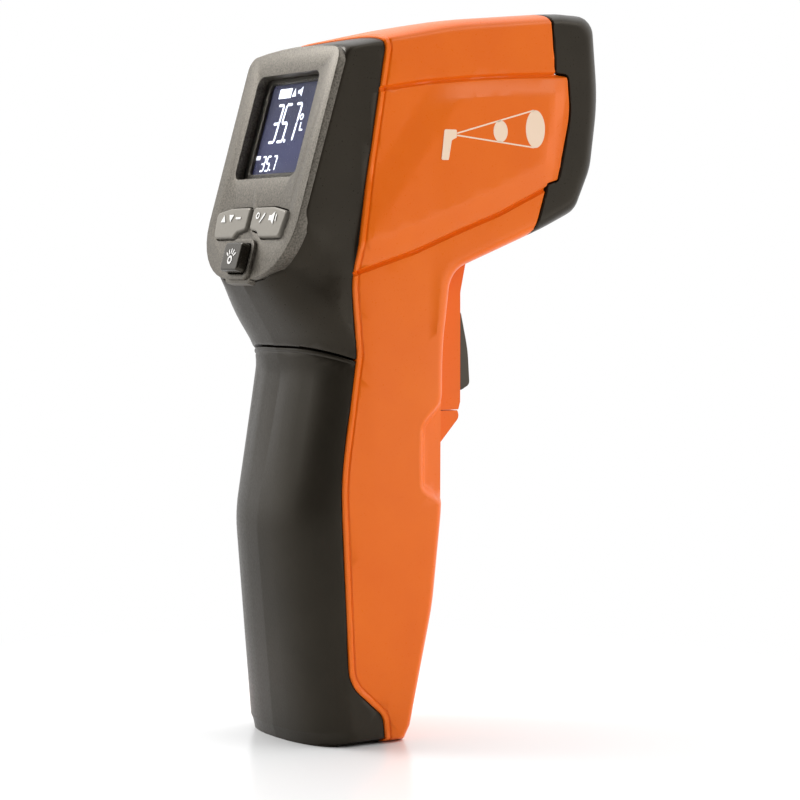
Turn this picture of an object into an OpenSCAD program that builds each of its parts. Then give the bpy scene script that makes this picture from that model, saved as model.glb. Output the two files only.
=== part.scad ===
// Infrared thermometer: a pistol grip with a head that tilts up a little.
// +X is where it aims, +Y is its left side, +Z is up. The origin is the
// middle of the foot that it stands on.

/* [Overall] */
// Height from the foot to the top of the nose
overall_height = 160; // [135:1:190]
// Length of the head from the bottom of the display face to the nose
head_length = 86; // [76:1:104]
// Width over the raised side panels
body_width = 41.5; // [34:0.5:50]
// Thickness of the casing walls
wall = 2; // [1.6:0.1:2.4]
// How far the black shells lie below the orange ones
rear_step = 0.4; // [0.2:0.1:0.6]

/* [Display end] */
// Lean of the display face away from upright, in degrees
display_tilt = 16.4; // [12:0.2:20]
// How far a key travels
key_travel = 0.8; // [0.4:0.1:1]
// How far the grey keys stand out of the bezel
key_height = 0.9; // [0.6:0.1:1.4]
// How far the laser key stands out of the bezel
laser_key_height = 3; // [2:0.1:3.6]

/* [Battery] */
// Width of the battery
battery_width = 26.5; // [25:0.1:32]
// Thickness of the battery
battery_thickness = 17.5; // [14.5:0.1:19]
// Height of the battery body without its terminals
battery_height = 46; // [38:0.5:50]

/* [Trigger] */
// Width of the trigger
trigger_width = 11; // [9:0.5:13.5]
// Angle through which the trigger swings
trigger_swing = 8; // [5:0.5:9]

/* [Optics] */
// Outer diameter of the sensor barrel
barrel_d = 17; // [14:0.5:20]
// Diameter of the laser module
laser_d = 6; // [5:0.2:7]

/* [Fasteners] */
// Thread diameter of the casing screws
screw_d = 2.2; // [1.8:0.1:2.6]
// Radial clearance of every pin in the part that turns on it
pin_play = 0.06; // [0.03:0.01:0.1]

/* [Hidden] */
$fn = 48;

// The outlines below are drawn for a body of this size and scaled to the driving one.
drawn_height = 160;
drawn_length = 86;
sx = head_length / drawn_length;
sz = overall_height / drawn_height;

// Reach and length of a cutter that passes right through the body.
through = 200;
// How much the slab takes off each flank.
flank_trim = 0.03;
// Overlap of a cutter past the face that it leaves by.
past = 1;

// Half widths. The handle is as wide as the battery, the door and its gaps need.
panel_rise = 0.9;
head_half = body_width / 2 - panel_rise;
battery_play = 0.45;
door_flange = 1.4;
door_gap = 0.3;
door_half = battery_width / 2 + battery_play + door_flange;
opening_half = door_half + door_gap;
casing_edge = 4.1;
handle_half = opening_half + casing_edge;
head_roundness = 3.5;
handle_roundness = 2.3;

// Side outlines as [x, z, corner radius]: the middle one lies on the plane of
// symmetry, the side one bounds the flat flank, and the skin bulges between.
head_middle = [
    [1, 83, 2], [-10.8, 83.5, 2], [-21.6, 100.2, 2], [-17.8, 113.4, 8], [-6.9, 150, 3], [22, 156.6, 120],
    [54, 160, 40], [62.3, 160, 3.5], [64.5, 140, 50], [63, 124, 16], [59, 114.8, 4], [3, 93.5, 3]
];
head_side = [
    [3, 87, 2], [-2, 87.5, 4], [-12, 104, 5], [-15, 114, 6], [-4.4, 148, 4], [22, 152.9, 120],
    [52, 156.4, 20],
    [57.6, 156, 4], [59.8, 140, 50], [58.4, 126, 14], [55, 118.4, 5], [5, 98, 3]
];
handle_middle = [
    [-11.9, -0.9, 0.8], [-13.4, 2.6, 2], [-17.6, 48.5, 35], [-8, 104, 3], [27.5, 104, 1],
    [22.3, 88, 25], [22, 50, 60], [19.6, 29, 60], [13.4, 2.8, 2], [11.9, -0.9, 0.8]
];
handle_side = [
    [-2, 1.4, 0.8], [-3.6, 3.4, 2], [-6.4, 48.5, 35], [0, 101, 3], [21, 101, 1],
    [16.8, 88, 25], [16.6, 50, 60], [14.2, 29, 60], [8.6, 3.4, 2], [7, 1.4, 0.8]
];

// Edges between the orange casings and their neighbours, also in the drawn size.
rear_seam = [
    [4, -1, 0.5], [3.4, 6, 4], [-5.2, 13.5, 8], [-7.2, 57, 60], [-3.2, 84, 4],
    [-4.6, 99, 18], [0.2, 128, 160], [3.8, 149, 1.5], [2, 156, 0.5]
];
nose_seam = [
    [47.2, 170, 0.5], [49.2, 155, 4], [50, 145.6, 0.5], [53.4, 145.2, 0.8], [54.2, 137, 20],
    [50.8, 122.2, 0.8], [48, 121.4, 0.5], [43, 104, 0.5]
];
neck_seam_rear_z = 85.4;
neck_seam_side_z = 82;

// The display face: its lower end on the plane of symmetry, and lengths along it.
face_foot_x = -21.5;
face_foot_z = 100;
face_length = 52.3 * sz;
bezel_half = head_half - 0.5;
bezel_depth = 3;
bezel_corner = 12;
ledge_depth = 1.6;
ledge_width = 2;
window_half = bezel_half * 0.674;
window_low = 22.6 * sz;
window_high = 46.2 * sz;
window_depth = 2.2;
window_lip = 1.2;
window_thickness = 1.2;
panel_thickness = 2.6;
backlight_thickness = 2;
board_depth = window_depth + window_thickness + panel_thickness + backlight_thickness;
board_thickness = 1.6;
board_half = 15;
board_low = 4 * sz;
board_high = 49 * sz;

// Keys, as heights along the face and half widths across it.
key_gap = 0.3;
key_low = 9 * sz;
key_high = 15.8 * sz;
key_inner = 0.8;
key_outer = bezel_half * 0.78;
laser_key_half = 3.75;
laser_key_low = 1.1 * sz;
laser_key_high = 7.4 * sz;
socket_rim = 1;
collar_height = 0.8;
key_root = 5;
flange_grow = 0.6;
mat_thickness = 1;
mat_pad = board_depth - key_root - key_travel - mat_thickness - 0.1;

// Radial play of a pin in the casing that holds it still.
seat_play = 0.02;

// Trigger block, trigger and its pin.
block_half = 9.4;
block_front = 30.4 * sx;
block_low = 70.9 * sz;
block_top = 104 * sz;
block_wall = 1.8;
slot_play = 0.3;
slot_low = 73 * sz;
slot_high = 93.6 * sz;
pivot_x = 25 * sx;
pivot_z = 91.2 * sz;
pivot_r = 1.2;
pivot_eye = 2.6;
trigger_tip_x = 35 * sx;
trigger_low = 75.2 * sz;
spring_z = 84.4 * sz;
spring_r = 1.8;
spring_wire = 0.5;
spring_turns = 4;
spring_seat_x = block_front - 12 * sx;
rib_thickness = 1.6;
rib_half = 3;
hinge_reach = opening_half + 1.6;
bezel_round = bezel_corner * 0.7;
face_reach = 8;
window_ledge = 1.4;
window_lap = 0.8;
lead_spacing = 8;
scallop_slant = 6 * sz;
switch_size = [6, 10, 6.2];
switch_floor = block_low + block_wall;
switch_x = block_front - 11.2 * sx;
switch_tip = pivot_x + 3.3 - (pivot_z - trigger_low) * sin(trigger_swing);
lead_r = 0.6;

// Battery, tray, door and hinge.
battery_front = 12.6 * sx;
battery_low = 14 * sz;
terminal_height = 2.6;
snap_half = 6;
tray_wall = 1.2;
hinge_x = 10.2 * sx;
hinge_z = 5.3 * sz;
hinge_pin_r = 1.1;
knuckle_r = 2.9;
floor_lip = 1.2;
door_top = block_low - 0.4;
door_thickness = 2;
front_line = 22 * sx;
bump_low = 61.5 * sz;
scallop_low = 51 * sz;
scallop_high = 75 * sz;
scallop_rear = 12.4 * sx;

// Optics. The barrel, the lens and the laser look along +X.
lens_z = 132 * sz;
lens_x = 59 * sx;
lens_thickness = 1.2;
barrel_rear = 36 * sx;
barrel_wall = 1.8;
sensor_r = 4.6;
sensor_height = 4;
sensor_board_side = 16;
sensor_board_thickness = 1.2;
laser_z = 149 * sz;
laser_rear = 45 * sx;
laser_front = 59.5 * sx;
laser_window_thickness = 1;
barrel_front = 62.4 * sx;
ribbon_height = 22 * sz;
ribbon_thickness = 0.3;
ribbon_half = 4;

// Screws as [x, z], all along Y from the left side.
screw_places = [[10, 146], [35, 149.5], [40, 115.6], [8, 92], [3.8, 9.5]];
screw_head_r = screw_d * 0.92;
screw_head_height = 1.6;
screw_length = 12;
screw_grip = 5;
head_play = 0.15;
nut_boss_r = screw_d / 2 + 1.5;
head_boss_r = screw_head_r + head_play + 0.8;

rubber_black = "#2c2820";
orange = "#e2641e";
bezel_grey = "#8a8270";
key_grey = "#9a968f";
board_green = "#1f5a38";

// ---- Outline tools ----

function scaled(points) = [for (p = points) [p[0] * sx, p[1] * sz, p[2]]];

function unit(v) = v / norm(v);

function wrapped(points, i) = points[(i + len(points)) % len(points)];

function xz(p) = [p[0], p[1]];

function turn_sign(a, b, c) = sign((b[0] - a[0]) * (c[1] - b[1]) - (b[1] - a[1]) * (c[0] - b[0]));

// The outlines run clockwise, so the inward side is on the right.
function inward(a, b) = let (d = unit(b - a)) [d[1], -d[0]];

// Outline moved inward by d, each corner keeping its mitre and its arc's centre.
function shrunk(points, d) = [
    for (i = [0 : len(points) - 1])
        let (
            before = xz(wrapped(points, i - 1)),
            here = xz(points[i]),
            after = xz(wrapped(points, i + 1)),
            n1 = inward(before, here),
            n2 = inward(here, after),
            mitre = (n1 + n2) / (1 + n1 * n2),
            hollow = turn_sign(before, here, after) > 0
        )
        [here[0] + mitre[0] * d, here[1] + mitre[1] * d, max(points[i][2] + (hollow ? d : -d), 0.3)]
];

// Points of the arc that rounds one corner, in equal steps of its chord.
function corner_arc(before, here, after, radius, steps) =
    let (
        u = unit(before - here),
        v = unit(after - here),
        half_angle = acos(max(min(u * v, 1), -1)) / 2,
        reach = radius / tan(half_angle),
        first = here + u * reach,
        last = here + v * reach,
        centre = here + unit(u + v) * radius / sin(half_angle)
    )
    [
        for (k = [0 : steps])
            let (chord = first + (last - first) * k / steps)
            centre + unit(chord - centre) * radius
    ];

function rounded(points, steps = 2) = [
    for (i = [0 : len(points) - 1])
        each corner_arc(
            xz(wrapped(points, i - 1)), xz(points[i]), xz(wrapped(points, i + 1)), points[i][2], steps
        )
];

// Same for an open line, whose two ends stay sharp.
function rounded_line(points, steps = 3) = [
    xz(points[0]),
    for (i = [1 : len(points) - 2])
        each corner_arc(xz(points[i - 1]), xz(points[i]), xz(points[i + 1]), points[i][2], steps),
    xz(points[len(points) - 1])
];

// Point behind the display face as [x, z]: up is along the face, depth goes into the head.
function face_point(up, depth) = [
    face_foot_x * sx + up * sin(display_tilt) + depth * cos(display_tilt),
    face_foot_z * sz + up * cos(display_tilt) - depth * sin(display_tilt)
];

// Open path whose corners are eased by one extra point on each side.
function rounded_path(points) = [
    points[0],
    for (i = [1 : len(points) - 2])
        each [
            points[i] + (points[i - 1] - points[i]) * 0.3,
            points[i] + (points[i - 1] + points[i + 1] - 2 * points[i]) * 0.06,
            points[i] + (points[i + 1] - points[i]) * 0.3
        ],
    points[len(points) - 1]
];

// Round wire along a path. The axis is any direction that the path never follows.
module tube(path, r, sides, axis) {
    last = len(path) - 1;
    rings = [
        for (i = [0 : last])
            let (
                along = unit(path[min(i + 1, last)] - path[max(i - 1, 0)]),
                u = unit(cross(along, axis)),
                v = cross(along, u)
            )
            each [for (k = [0 : sides - 1]) let (turn = 360 * k / sides)
                path[i] + r * (cos(turn) * u + sin(turn) * v)]
    ];
    walls = [
        for (i = [0 : last - 1], k = [0 : sides - 1])
            let (a = i * sides + k, b = i * sides + (k + 1) % sides)
            each [[a, a + sides, b + sides], [a, b + sides, b]]
    ];
    start_cap = [for (k = [0 : sides - 1]) k];
    end_cap = [for (k = [sides - 1 : -1 : 0]) last * sides + k];
    polyhedron(points = rings, faces = concat(walls, [start_cap], [end_cap]), convexity = 6);
}

// A skin that bulges from the side outline to the middle one and back.
module pillow(middle, side, half, roundness) {
    angles = [-90, -78, -60, -36, 0, 36, 60, 78, 90];
    count = len(middle);
    loops = [
        for (a = angles)
            let (
                y = half * sign(a) * pow(abs(sin(a)), 2 / roundness),
                blend = 1 - pow(cos(a), 2 / roundness)
            )
            each [for (i = [0 : count - 1]) let (p = middle[i] + (side[i] - middle[i]) * blend)
                [p[0], y, p[1]]]
    ];
    last = len(angles) - 1;
    bands = [
        for (k = [0 : last - 1], i = [0 : count - 1])
            let (a = k * count + i, b = k * count + (i + 1) % count)
            each [[a, b + count, b], [a, a + count, b + count]]
    ];
    low_cap = [for (i = [0 : count - 1]) i];
    high_cap = [for (i = [count - 1 : -1 : 0]) last * count + i];
    // The slab trims both flanks to one clean flat face.
    intersection() {
        polyhedron(points = loops, faces = concat(bands, [low_cap], [high_cap]), convexity = 6);
        cube([2 * through, 2 * (half - flank_trim), 2 * through], center = true);
    }
}

module head_solid(inset) {
    pillow(
        rounded(shrunk(scaled(head_middle), inset)),
        rounded(shrunk(scaled(head_side), inset)),
        head_half - inset,
        head_roundness
    );
}

// The foot is cut flat, at the same height for the black and the orange shells.
module handle_solid(inset) {
    foot = inset > rear_step ? inset : 0;
    intersection() {
        pillow(
            rounded(shrunk(scaled(handle_middle), inset)),
            rounded(shrunk(scaled(handle_side), inset)),
            handle_half - inset,
            handle_roundness
        );
        limits(-through, through, -through, through, foot, 2 * through);
    }
}

module body_solid(inset) {
    head_solid(inset);
    handle_solid(inset);
}

// Extrudes an outline in X and Z through the whole width.
module across(points, half = through / 2) {
    rotate([90, 0, 0])
        linear_extrude(height = 2 * half, center = true)
            polygon(points);
}

// Box given by its limits.
module limits(x0, x1, y0, y1, z0, z1) {
    translate([x0, y0, z0])
        cube([x1 - x0, y1 - y0, z1 - z0]);
}

// Cylinder along Y, centred on the plane of symmetry or from y0 to y1.
module rod_y(x, z, r, y0, y1) {
    translate([x, y1, z])
        rotate([90, 0, 0])
            cylinder(r = r, h = y1 - y0);
}

// Cylinder along X from x0 to x1.
module rod_x(z, r, x0, x1, y = 0) {
    translate([x0, y, z])
        rotate([0, 90, 0])
            cylinder(r = r, h = x1 - x0);
}

// ---- Regions that share out the skin ----

seam_line = rounded_line(scaled(rear_seam));
nose_line = rounded_line(scaled(nose_seam));
far_x = 120 * sx;
far_z = 200 * sz;

module orange_region() {
    across(concat(
        seam_line, [[seam_line[len(seam_line) - 1][0], far_z], [nose_line[0][0], far_z]],
        nose_line, [[nose_line[len(nose_line) - 1][0], -past]]
    ));
}

module nose_region() {
    across(concat(nose_line, [
        [far_x, nose_line[len(nose_line) - 1][1]], [far_x, far_z], [nose_line[0][0], far_z]
    ]));
}

module black_region() {
    across(concat([[-far_x, -past]], seam_line, [
        [seam_line[len(seam_line) - 1][0], far_z], [-far_x, far_z]
    ]));
}

// Everything above the seam at the neck, which rises to the rear.
module above_neck() {
    across([
        [-far_x, neck_seam_rear_z * sz], [-12 * sx, neck_seam_rear_z * sz], [0, neck_seam_side_z * sz],
        [far_x, neck_seam_side_z * sz], [far_x, far_z], [-far_x, far_z]
    ]);
}

// ---- Display face frame: x to the right as seen from behind, y up the face, z outward ----

module on_face() {
    translate([face_foot_x * sx, 0, face_foot_z * sz])
        rotate([0, display_tilt, 0])
            rotate([90, 0, -90])
                children();
}

// Upright rounded rectangle made of exact arcs.
module soft_rect(half, low, high, r) {
    translate([-half, low + r])
        square([2 * half, high - low - 2 * r]);
    translate([-half + r, low])
        square([2 * (half - r), high - low]);
    for (x = [-half + r, half - r], y = [low + r, high - r])
        translate([x, y])
            circle(r = r);
}

module face_block(half, low, high, r, outer, inner) {
    on_face()
        translate([0, 0, -inner])
            linear_extrude(height = inner - outer)
                soft_rect(half, low, high, r);
}

// Outline of the grey key on the right, with its lower inner corner cut for the laser key's rim.
module key_outline(grow = 0) {
    notch = laser_key_half + socket_rim + 0.4;
    polygon([
        [key_inner - grow, key_high + grow], [key_outer * 0.6, key_high + grow],
        [key_outer + grow, key_high - 1 + grow], [key_outer - 0.7 + grow, key_low + 0.6],
        [key_outer - 1.6 + grow, key_low - grow], [notch + 0.6 - grow, key_low - grow],
        [notch - 1 - grow, key_low + 1.2 - grow], [key_inner - grow, key_low + 1.9 - grow]
    ]);
}

module laser_key_outline(grow = 0) {
    soft_rect(laser_key_half + grow, laser_key_low - grow, laser_key_high + grow, 0.6 + grow);
}

// ---- Shells ----

// The left bosses take the heads and the right ones the threads.
module screw_bosses(side) {
    reach = max(head_half, handle_half);
    for (p = screw_places)
        if (side > 0)
            rod_y(p[0] * sx, p[1] * sz, head_boss_r, 0, reach);
        else
            rod_y(p[0] * sx, p[1] * sz, nut_boss_r, -reach, 0);
}

module screw_holes(side) {
    for (p = screw_places)
        if (side > 0) {
            rod_y(p[0] * sx, p[1] * sz, screw_d / 2 + head_play, -past, through / 2);
            rod_y(p[0] * sx, p[1] * sz, screw_head_r + head_play, screw_grip, through / 2);
        } else
            rod_y(p[0] * sx, p[1] * sz, screw_d / 2, screw_grip - screw_length - 0.5, past);
}

module trigger_block(inset) {
    half = block_half - inset;
    across([
        [14 * sx, block_low + inset], [block_front - 0.8 * sx - inset, block_low + inset],
        [block_front - inset, block_low + 2 + inset], [block_front - inset, block_top],
        [14 * sx, block_top]
    ], half);
}

module trigger_slot() {
    half = trigger_width / 2 + slot_play;
    limits(block_front - 8 * sx, far_x / 2, -half, half, slot_low, slot_high);
}

// Raised side panel with sloped edges, a stack of two slabs on each flank.
module side_panel(side) {
    low = scaled([
        [-1, 105, 1], [14, 142.4, 30], [46.8, 145.4, 1], [52.4, 143.6, 1],
        [50, 124, 1], [46, 121, 1], [14, 108.2, 30]
    ]);
    base = rounded(low, 2);
    top = rounded(shrunk(low, 3), 2);
    y0 = head_half - 1;
    y1 = head_half + panel_rise;
    count = len(base);
    points = concat(
        [for (p = base) [p[0], side * y0, p[1]]],
        [for (p = base) [p[0], side * head_half, p[1]]],
        [for (p = top) [p[0], side * y1, p[1]]]
    );
    bands = [
        for (k = [0, 1], i = [0 : count - 1])
            let (a = k * count + i, b = k * count + (i + 1) % count)
            each [[a, b + count, b], [a, a + count, b + count]]
    ];
    caps = [[for (i = [0 : count - 1]) i], [for (i = [count - 1 : -1 : 0]) 2 * count + i]];
    faces = concat(bands, caps);
    turned = [for (f = faces) [for (i = [len(f) - 1 : -1 : 0]) f[i]]];
    polyhedron(points = points, faces = side < 0 ? turned : faces);
}

module casing(side) {
    flank = side > 0 ? 0 : -through;
    color(orange)
        difference() {
            union() {
                intersection() {
                    difference() {
                        union() {
                            body_solid(0);
                            trigger_block(0);
                        }
                        body_solid(wall);
                        trigger_block(block_wall);
                        door_cut();
                    }
                    orange_region();
                    translate([-through / 2, flank, -past])
                        cube([through, through, 2 * through]);
                }
                side_panel(side);
                intersection() {
                    screw_bosses(side);
                    body_solid(wall / 2);
                }
                trigger_pin_boss(side);
                hinge_boss(side);
                spring_rib(side);
                scallop_wall(side);
            }
            trigger_slot();
            screw_holes(side);
            scallop(side);
            rod_y(pivot_x, pivot_z, pivot_r + seat_play, -block_half + 0.6, block_half - 0.6);
            rod_y(hinge_x, hinge_z, hinge_pin_r + seat_play, -hinge_reach, hinge_reach);
        }
}

module hinge_boss(side) {
    y0 = opening_half - 0.1;
    y1 = handle_half - wall / 2;
    intersection() {
        if (side > 0)
            rod_y(hinge_x, hinge_z, knuckle_r, y0, y1);
        else
            rod_y(hinge_x, hinge_z, knuckle_r, -y1, -y0);
        body_solid(0.2);
    }
}

module trigger_pin_boss(side) {
    y0 = trigger_width / 2 + slot_play;
    y1 = block_half - block_wall / 2;
    if (side > 0)
        rod_y(pivot_x, pivot_z, pivot_eye, y0, y1);
    else
        rod_y(pivot_x, pivot_z, pivot_eye, -y1, -y0);
}

// Rib across the casing that the trigger spring pushes against.
module spring_rib(side) {
    y0 = side > 0 ? 0 : -handle_half;
    intersection() {
        limits(spring_seat_x - rib_thickness, spring_seat_x, y0, y0 + handle_half,
            spring_z - rib_half, spring_z + rib_half);
        body_solid(wall / 2);
    }
}

// Wall behind the upper end of the scallop, above the door.
module scallop_wall(side) {
    y0 = side > 0 ? opening_half - rib_thickness : -opening_half;
    intersection() {
        limits(scallop_rear - rib_thickness, far_x, y0, y0 + rib_thickness,
            block_low, scallop_high + rib_thickness);
        body_solid(0.2);
    }
}

// Room for the door and its flanges in the front of the handle.
module door_cut() {
    limits(battery_front - 1.2 * sx, far_x, -opening_half, opening_half, hinge_z, door_top + 0.4);
    limits(hinge_x - knuckle_r - door_gap, far_x, -opening_half, opening_half, floor_lip, battery_low);
}

// Finger scallop that lays the door's flange bare.
module scallop(side) {
    y0 = side > 0 ? opening_half - past : -through / 2;
    y1 = side > 0 ? through / 2 : -opening_half + past;
    translate([0, (y0 + y1) / 2, 0])
        across(rounded([
            [scallop_rear, scallop_low + scallop_slant / 2, 4],
            [scallop_rear, scallop_high - scallop_slant, 4],
            [scallop_rear + 6 * sx, scallop_high, 1], [far_x / 2, scallop_high, 1],
            [far_x / 2, scallop_low, 1], [scallop_rear + 5 * sx, scallop_low, 2]
        ]), (y1 - y0) / 2);
}

module right_casing() {
    casing(-1);
}

module left_casing() {
    casing(1);
}

module rear_housing() {
    color(rubber_black)
        difference() {
            union() {
                difference() {
                    intersection() {
                        body_solid(rear_step);
                        black_region();
                        above_neck();
                    }
                    body_solid(rear_step + wall);
                }
                intersection() {
                    face_block(bezel_half, 0, face_length, bezel_round,
                        bezel_depth, bezel_depth + ledge_depth);
                    body_solid(rear_step);
                }
            }
            face_block(bezel_half, 0, face_length, bezel_round, -face_reach, bezel_depth);
            face_block(bezel_half - ledge_width, ledge_width, face_length - ledge_width,
                bezel_corner * 0.6, -face_reach, 20);
            face_block(laser_key_half + 1.2, 0.2, laser_key_high, 0.5,
                -face_reach, bezel_depth + ledge_depth + past);
        }
}

module rear_grip() {
    color(rubber_black)
        difference() {
            intersection() {
                handle_solid(rear_step);
                black_region();
            }
            handle_solid(rear_step + wall);
            above_neck();
        }
}

module nose_cap() {
    color(rubber_black)
        difference() {
            intersection() {
                head_solid(0);
                nose_region();
            }
            head_solid(wall);
            rod_x(lens_z, barrel_d / 2 + 0.1, lens_x - 8, far_x);
            rod_x(laser_z, laser_d / 2 - 0.6, laser_front, far_x);
        }
}

// ---- Display end ----

module display_bezel() {
    color(bezel_grey)
        difference() {
            union() {
                intersection() {
                    face_block(bezel_half - 0.1, 0.1, face_length - 0.1, bezel_round - 0.1,
                        -face_reach, bezel_depth);
                    head_solid(0);
                }
                on_face()
                    translate([0, 0, -1])
                        linear_extrude(height = 1 + collar_height)
                            laser_key_outline(key_gap + socket_rim);
            }
            face_block(window_half, window_low, window_high, 2, -6, window_depth);
            face_block(window_half + window_ledge, window_low - window_ledge, window_high + window_ledge,
                2, window_depth, bezel_depth + past);
            on_face()
                translate([0, 0, -bezel_depth - past])
                    linear_extrude(height = bezel_depth + 8) {
                        key_outline(key_gap);
                        mirror([1, 0])
                            key_outline(key_gap);
                        laser_key_outline(key_gap);
                    }
        }
}

module display_window() {
    color("#aab8c4", 0.35)
        face_block(window_half + 1.2, window_low - 1.2, window_high + 1.2, 1.6, window_depth,
            window_depth + window_thickness);
}

module display_panel() {
    depth = window_depth + window_thickness;
    color("#3c3f58")
        face_block(window_half + window_lap, window_low - window_lap, window_high + window_lap,
            0.4, depth, depth + panel_thickness);
}

module display_backlight() {
    depth = board_depth - backlight_thickness;
    color("#e8ecf4")
        face_block(window_half + 0.4, window_low + 2.4, window_high, 0.4, depth, board_depth);
}

// Rubber strip that joins the panel's contacts to the board.
module contact_strip() {
    depth = board_depth - backlight_thickness;
    color("#303038")
        face_block(window_half - 1, window_low - 0.2, window_low + 2, 0.3, depth, board_depth);
}

module main_board() {
    color(board_green)
        face_block(board_half, board_low, board_high, 1, board_depth, board_depth + board_thickness);
}

module processor() {
    depth = board_depth + board_thickness;
    color("#18181a")
        face_block(5, 28 * sz, 28 * sz + 10, 0.4, depth, depth + 1.6);
}

module buzzer() {
    on_face()
        translate([-8.5, 43 * sz, -board_depth - board_thickness - 4])
            color("#1c1c1e")
                difference() {
                    cylinder(r = 5.5, h = 4);
                    translate([0, 0, -past])
                        cylinder(r = 1, h = 2);
                }
}

// A key: its head in the opening, and a flange behind the bezel that keeps it in.
module key_head(height) {
    translate([0, 0, -key_root])
        linear_extrude(height = key_root + height)
            children();
}

module key_flange() {
    translate([0, 0, -key_root + 0.6])
        linear_extrude(height = key_root - bezel_depth - 0.7)
            children();
}

module grey_key() {
    key_head(key_height)
        key_outline();
    key_flange()
        key_outline(flange_grow);
}

module left_button() {
    color(key_grey)
        on_face()
            mirror([1, 0, 0])
                grey_key();
}

module right_button() {
    color(key_grey)
        on_face()
            grey_key();
}

module laser_button() {
    color("#16130f")
        on_face() {
            key_head(laser_key_height)
                laser_key_outline();
            key_flange()
                laser_key_outline(flange_grow);
        }
}

// Silicone sheet on the board, with a pad behind each key.
module button_mat() {
    color("#b8b4ac") {
        face_block(board_half - 1, board_low + 0.5, key_high + 1, 1,
            board_depth - mat_thickness, board_depth);
        on_face()
            translate([0, 0, mat_thickness - board_depth]) {
                for (x = [-key_outer * 0.6, key_outer * 0.6])
                    translate([x, (key_low + key_high) / 2])
                        cylinder(r = 2, h = mat_pad);
                translate([0, board_low + 2.5])
                    cylinder(r = 1.8, h = mat_pad);
            }
    }
}

// ---- Optics ----

module sensor_barrel() {
    color("#3a3a3e")
        difference() {
            union() {
                rod_x(lens_z, barrel_d / 2, barrel_rear, barrel_front);
                limits(laser_rear + 1, laser_rear + 8, -laser_d / 2 - 1, laser_d / 2 + 1,
                    lens_z, laser_z + 0.5);
            }
            rod_x(lens_z, barrel_d / 2 - barrel_wall, barrel_rear - past, barrel_front + past);
            rod_x(laser_z, laser_d / 2 + 0.02, laser_rear - past, laser_front);
        }
}

module infrared_lens() {
    color("#8c93a0")
        rod_x(lens_z, barrel_d / 2 - barrel_wall - 0.02, lens_x - lens_thickness, lens_x);
}

module thermopile_sensor() {
    color("#c8c4b8") {
        rod_x(lens_z, sensor_r, barrel_rear, barrel_rear + 0.6);
        difference() {
            rod_x(lens_z, sensor_r - 0.5, barrel_rear, barrel_rear + sensor_height);
            rod_x(lens_z, 1.4, barrel_rear + sensor_height - 0.5, barrel_rear + sensor_height + past);
        }
    }
}

module sensor_board() {
    half = sensor_board_side / 2;
    color(board_green)
        limits(barrel_rear - sensor_board_thickness, barrel_rear, -half, half,
            lens_z - half, lens_z + half);
}

// Flat cable from the back of the sensor board to the front of the main board.
module sensor_ribbon() {
    start_x = barrel_rear - sensor_board_thickness;
    end = face_point(ribbon_height, board_depth + board_thickness + ribbon_thickness);
    top = [
        [start_x, lens_z], [start_x - 6, lens_z - 1], [start_x - 14, lens_z - 5],
        [end[0] + 10, end[1] + 4], [end[0], end[1] + 1]
    ];
    below = [for (i = [len(top) - 1 : -1 : 0]) [top[i][0], top[i][1] - ribbon_thickness]];
    color("#b08038")
        across(concat(top, below), ribbon_half);
}

module laser_module() {
    color("#b89a4c")
        rod_x(laser_z, laser_d / 2, laser_rear, laser_front);
}

module laser_window() {
    color("#c8ccd4", 0.5)
        rod_x(laser_z, laser_d / 2, laser_front, laser_front + laser_window_thickness);
}

// ---- Trigger ----

module trigger() {
    outline = [
        [pivot_x - 1.8, slot_high - 0.8, 0.6], [block_front + 1, slot_high - 0.8, 2],
        [trigger_tip_x - 0.6, (slot_high + trigger_low) / 2, 30], [trigger_tip_x, trigger_low, 1],
        [pivot_x + 3.4, trigger_low, 0.6], [pivot_x + 3, spring_z + 3, 4],
        [pivot_x - 1.8, spring_z + 4.4, 0.6]
    ];
    color("#3a342c")
        difference() {
            across(rounded(outline), trigger_width / 2);
            rod_y(pivot_x, pivot_z, pivot_r + pin_play, -trigger_width, trigger_width);
        }
}

module trigger_pin() {
    color("#c0c0c4")
        rod_y(pivot_x, pivot_z, pivot_r, -block_half + 0.8, block_half - 0.8);
}

module trigger_spring() {
    x0 = spring_seat_x;
    x1 = pivot_x + 3;
    steps = spring_turns * 16;
    pitch_run = x1 - x0 - 2 * spring_wire;
    path = [
        for (k = [0 : steps])
            let (a = 360 * spring_turns * k / steps)
            [x0 + spring_wire + pitch_run * k / steps, spring_r * cos(a), spring_z + spring_r * sin(a)]
    ];
    color("#c8c8cc")
        tube(path, spring_wire / 2, 6, [1, 0, 0]);
}

module trigger_switch() {
    color("#202024") {
        limits(switch_x, switch_x + switch_size[0], -switch_size[1] / 2, switch_size[1] / 2,
            switch_floor, switch_floor + switch_size[2]);
        rod_x(switch_floor + 3, 1.2, switch_x + switch_size[0], switch_tip);
    }
}

module switch_leads() {
    end = face_point(board_low + 6, board_depth + board_thickness);
    color("#404048")
        for (y = [-1.5, 1.5])
            tube(rounded_path([
                [switch_x - 0.02, y, switch_floor + 3], [switch_x - 5, y, switch_floor + 5],
                [2 * sx, y, 85 * sz], [end[0] + 4, y, 97 * sz], [end[0] + 2.5, y, end[1]],
                [end[0], y, end[1]]
            ]), lead_r, 8, [0, 1, 0]);
}

// ---- Battery and door ----

module battery() {
    color("#2e3a4a")
        limits(battery_front - battery_thickness, battery_front, -battery_width / 2, battery_width / 2,
            battery_low, battery_low + battery_height);
    color("#c8c8c8")
        for (y = [-battery_width * 0.24, battery_width * 0.24])
            translate([battery_front - battery_thickness / 2, y, battery_low + battery_height])
                cylinder(r = y > 0 ? 3.6 : 2.9, h = terminal_height);
}

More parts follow.
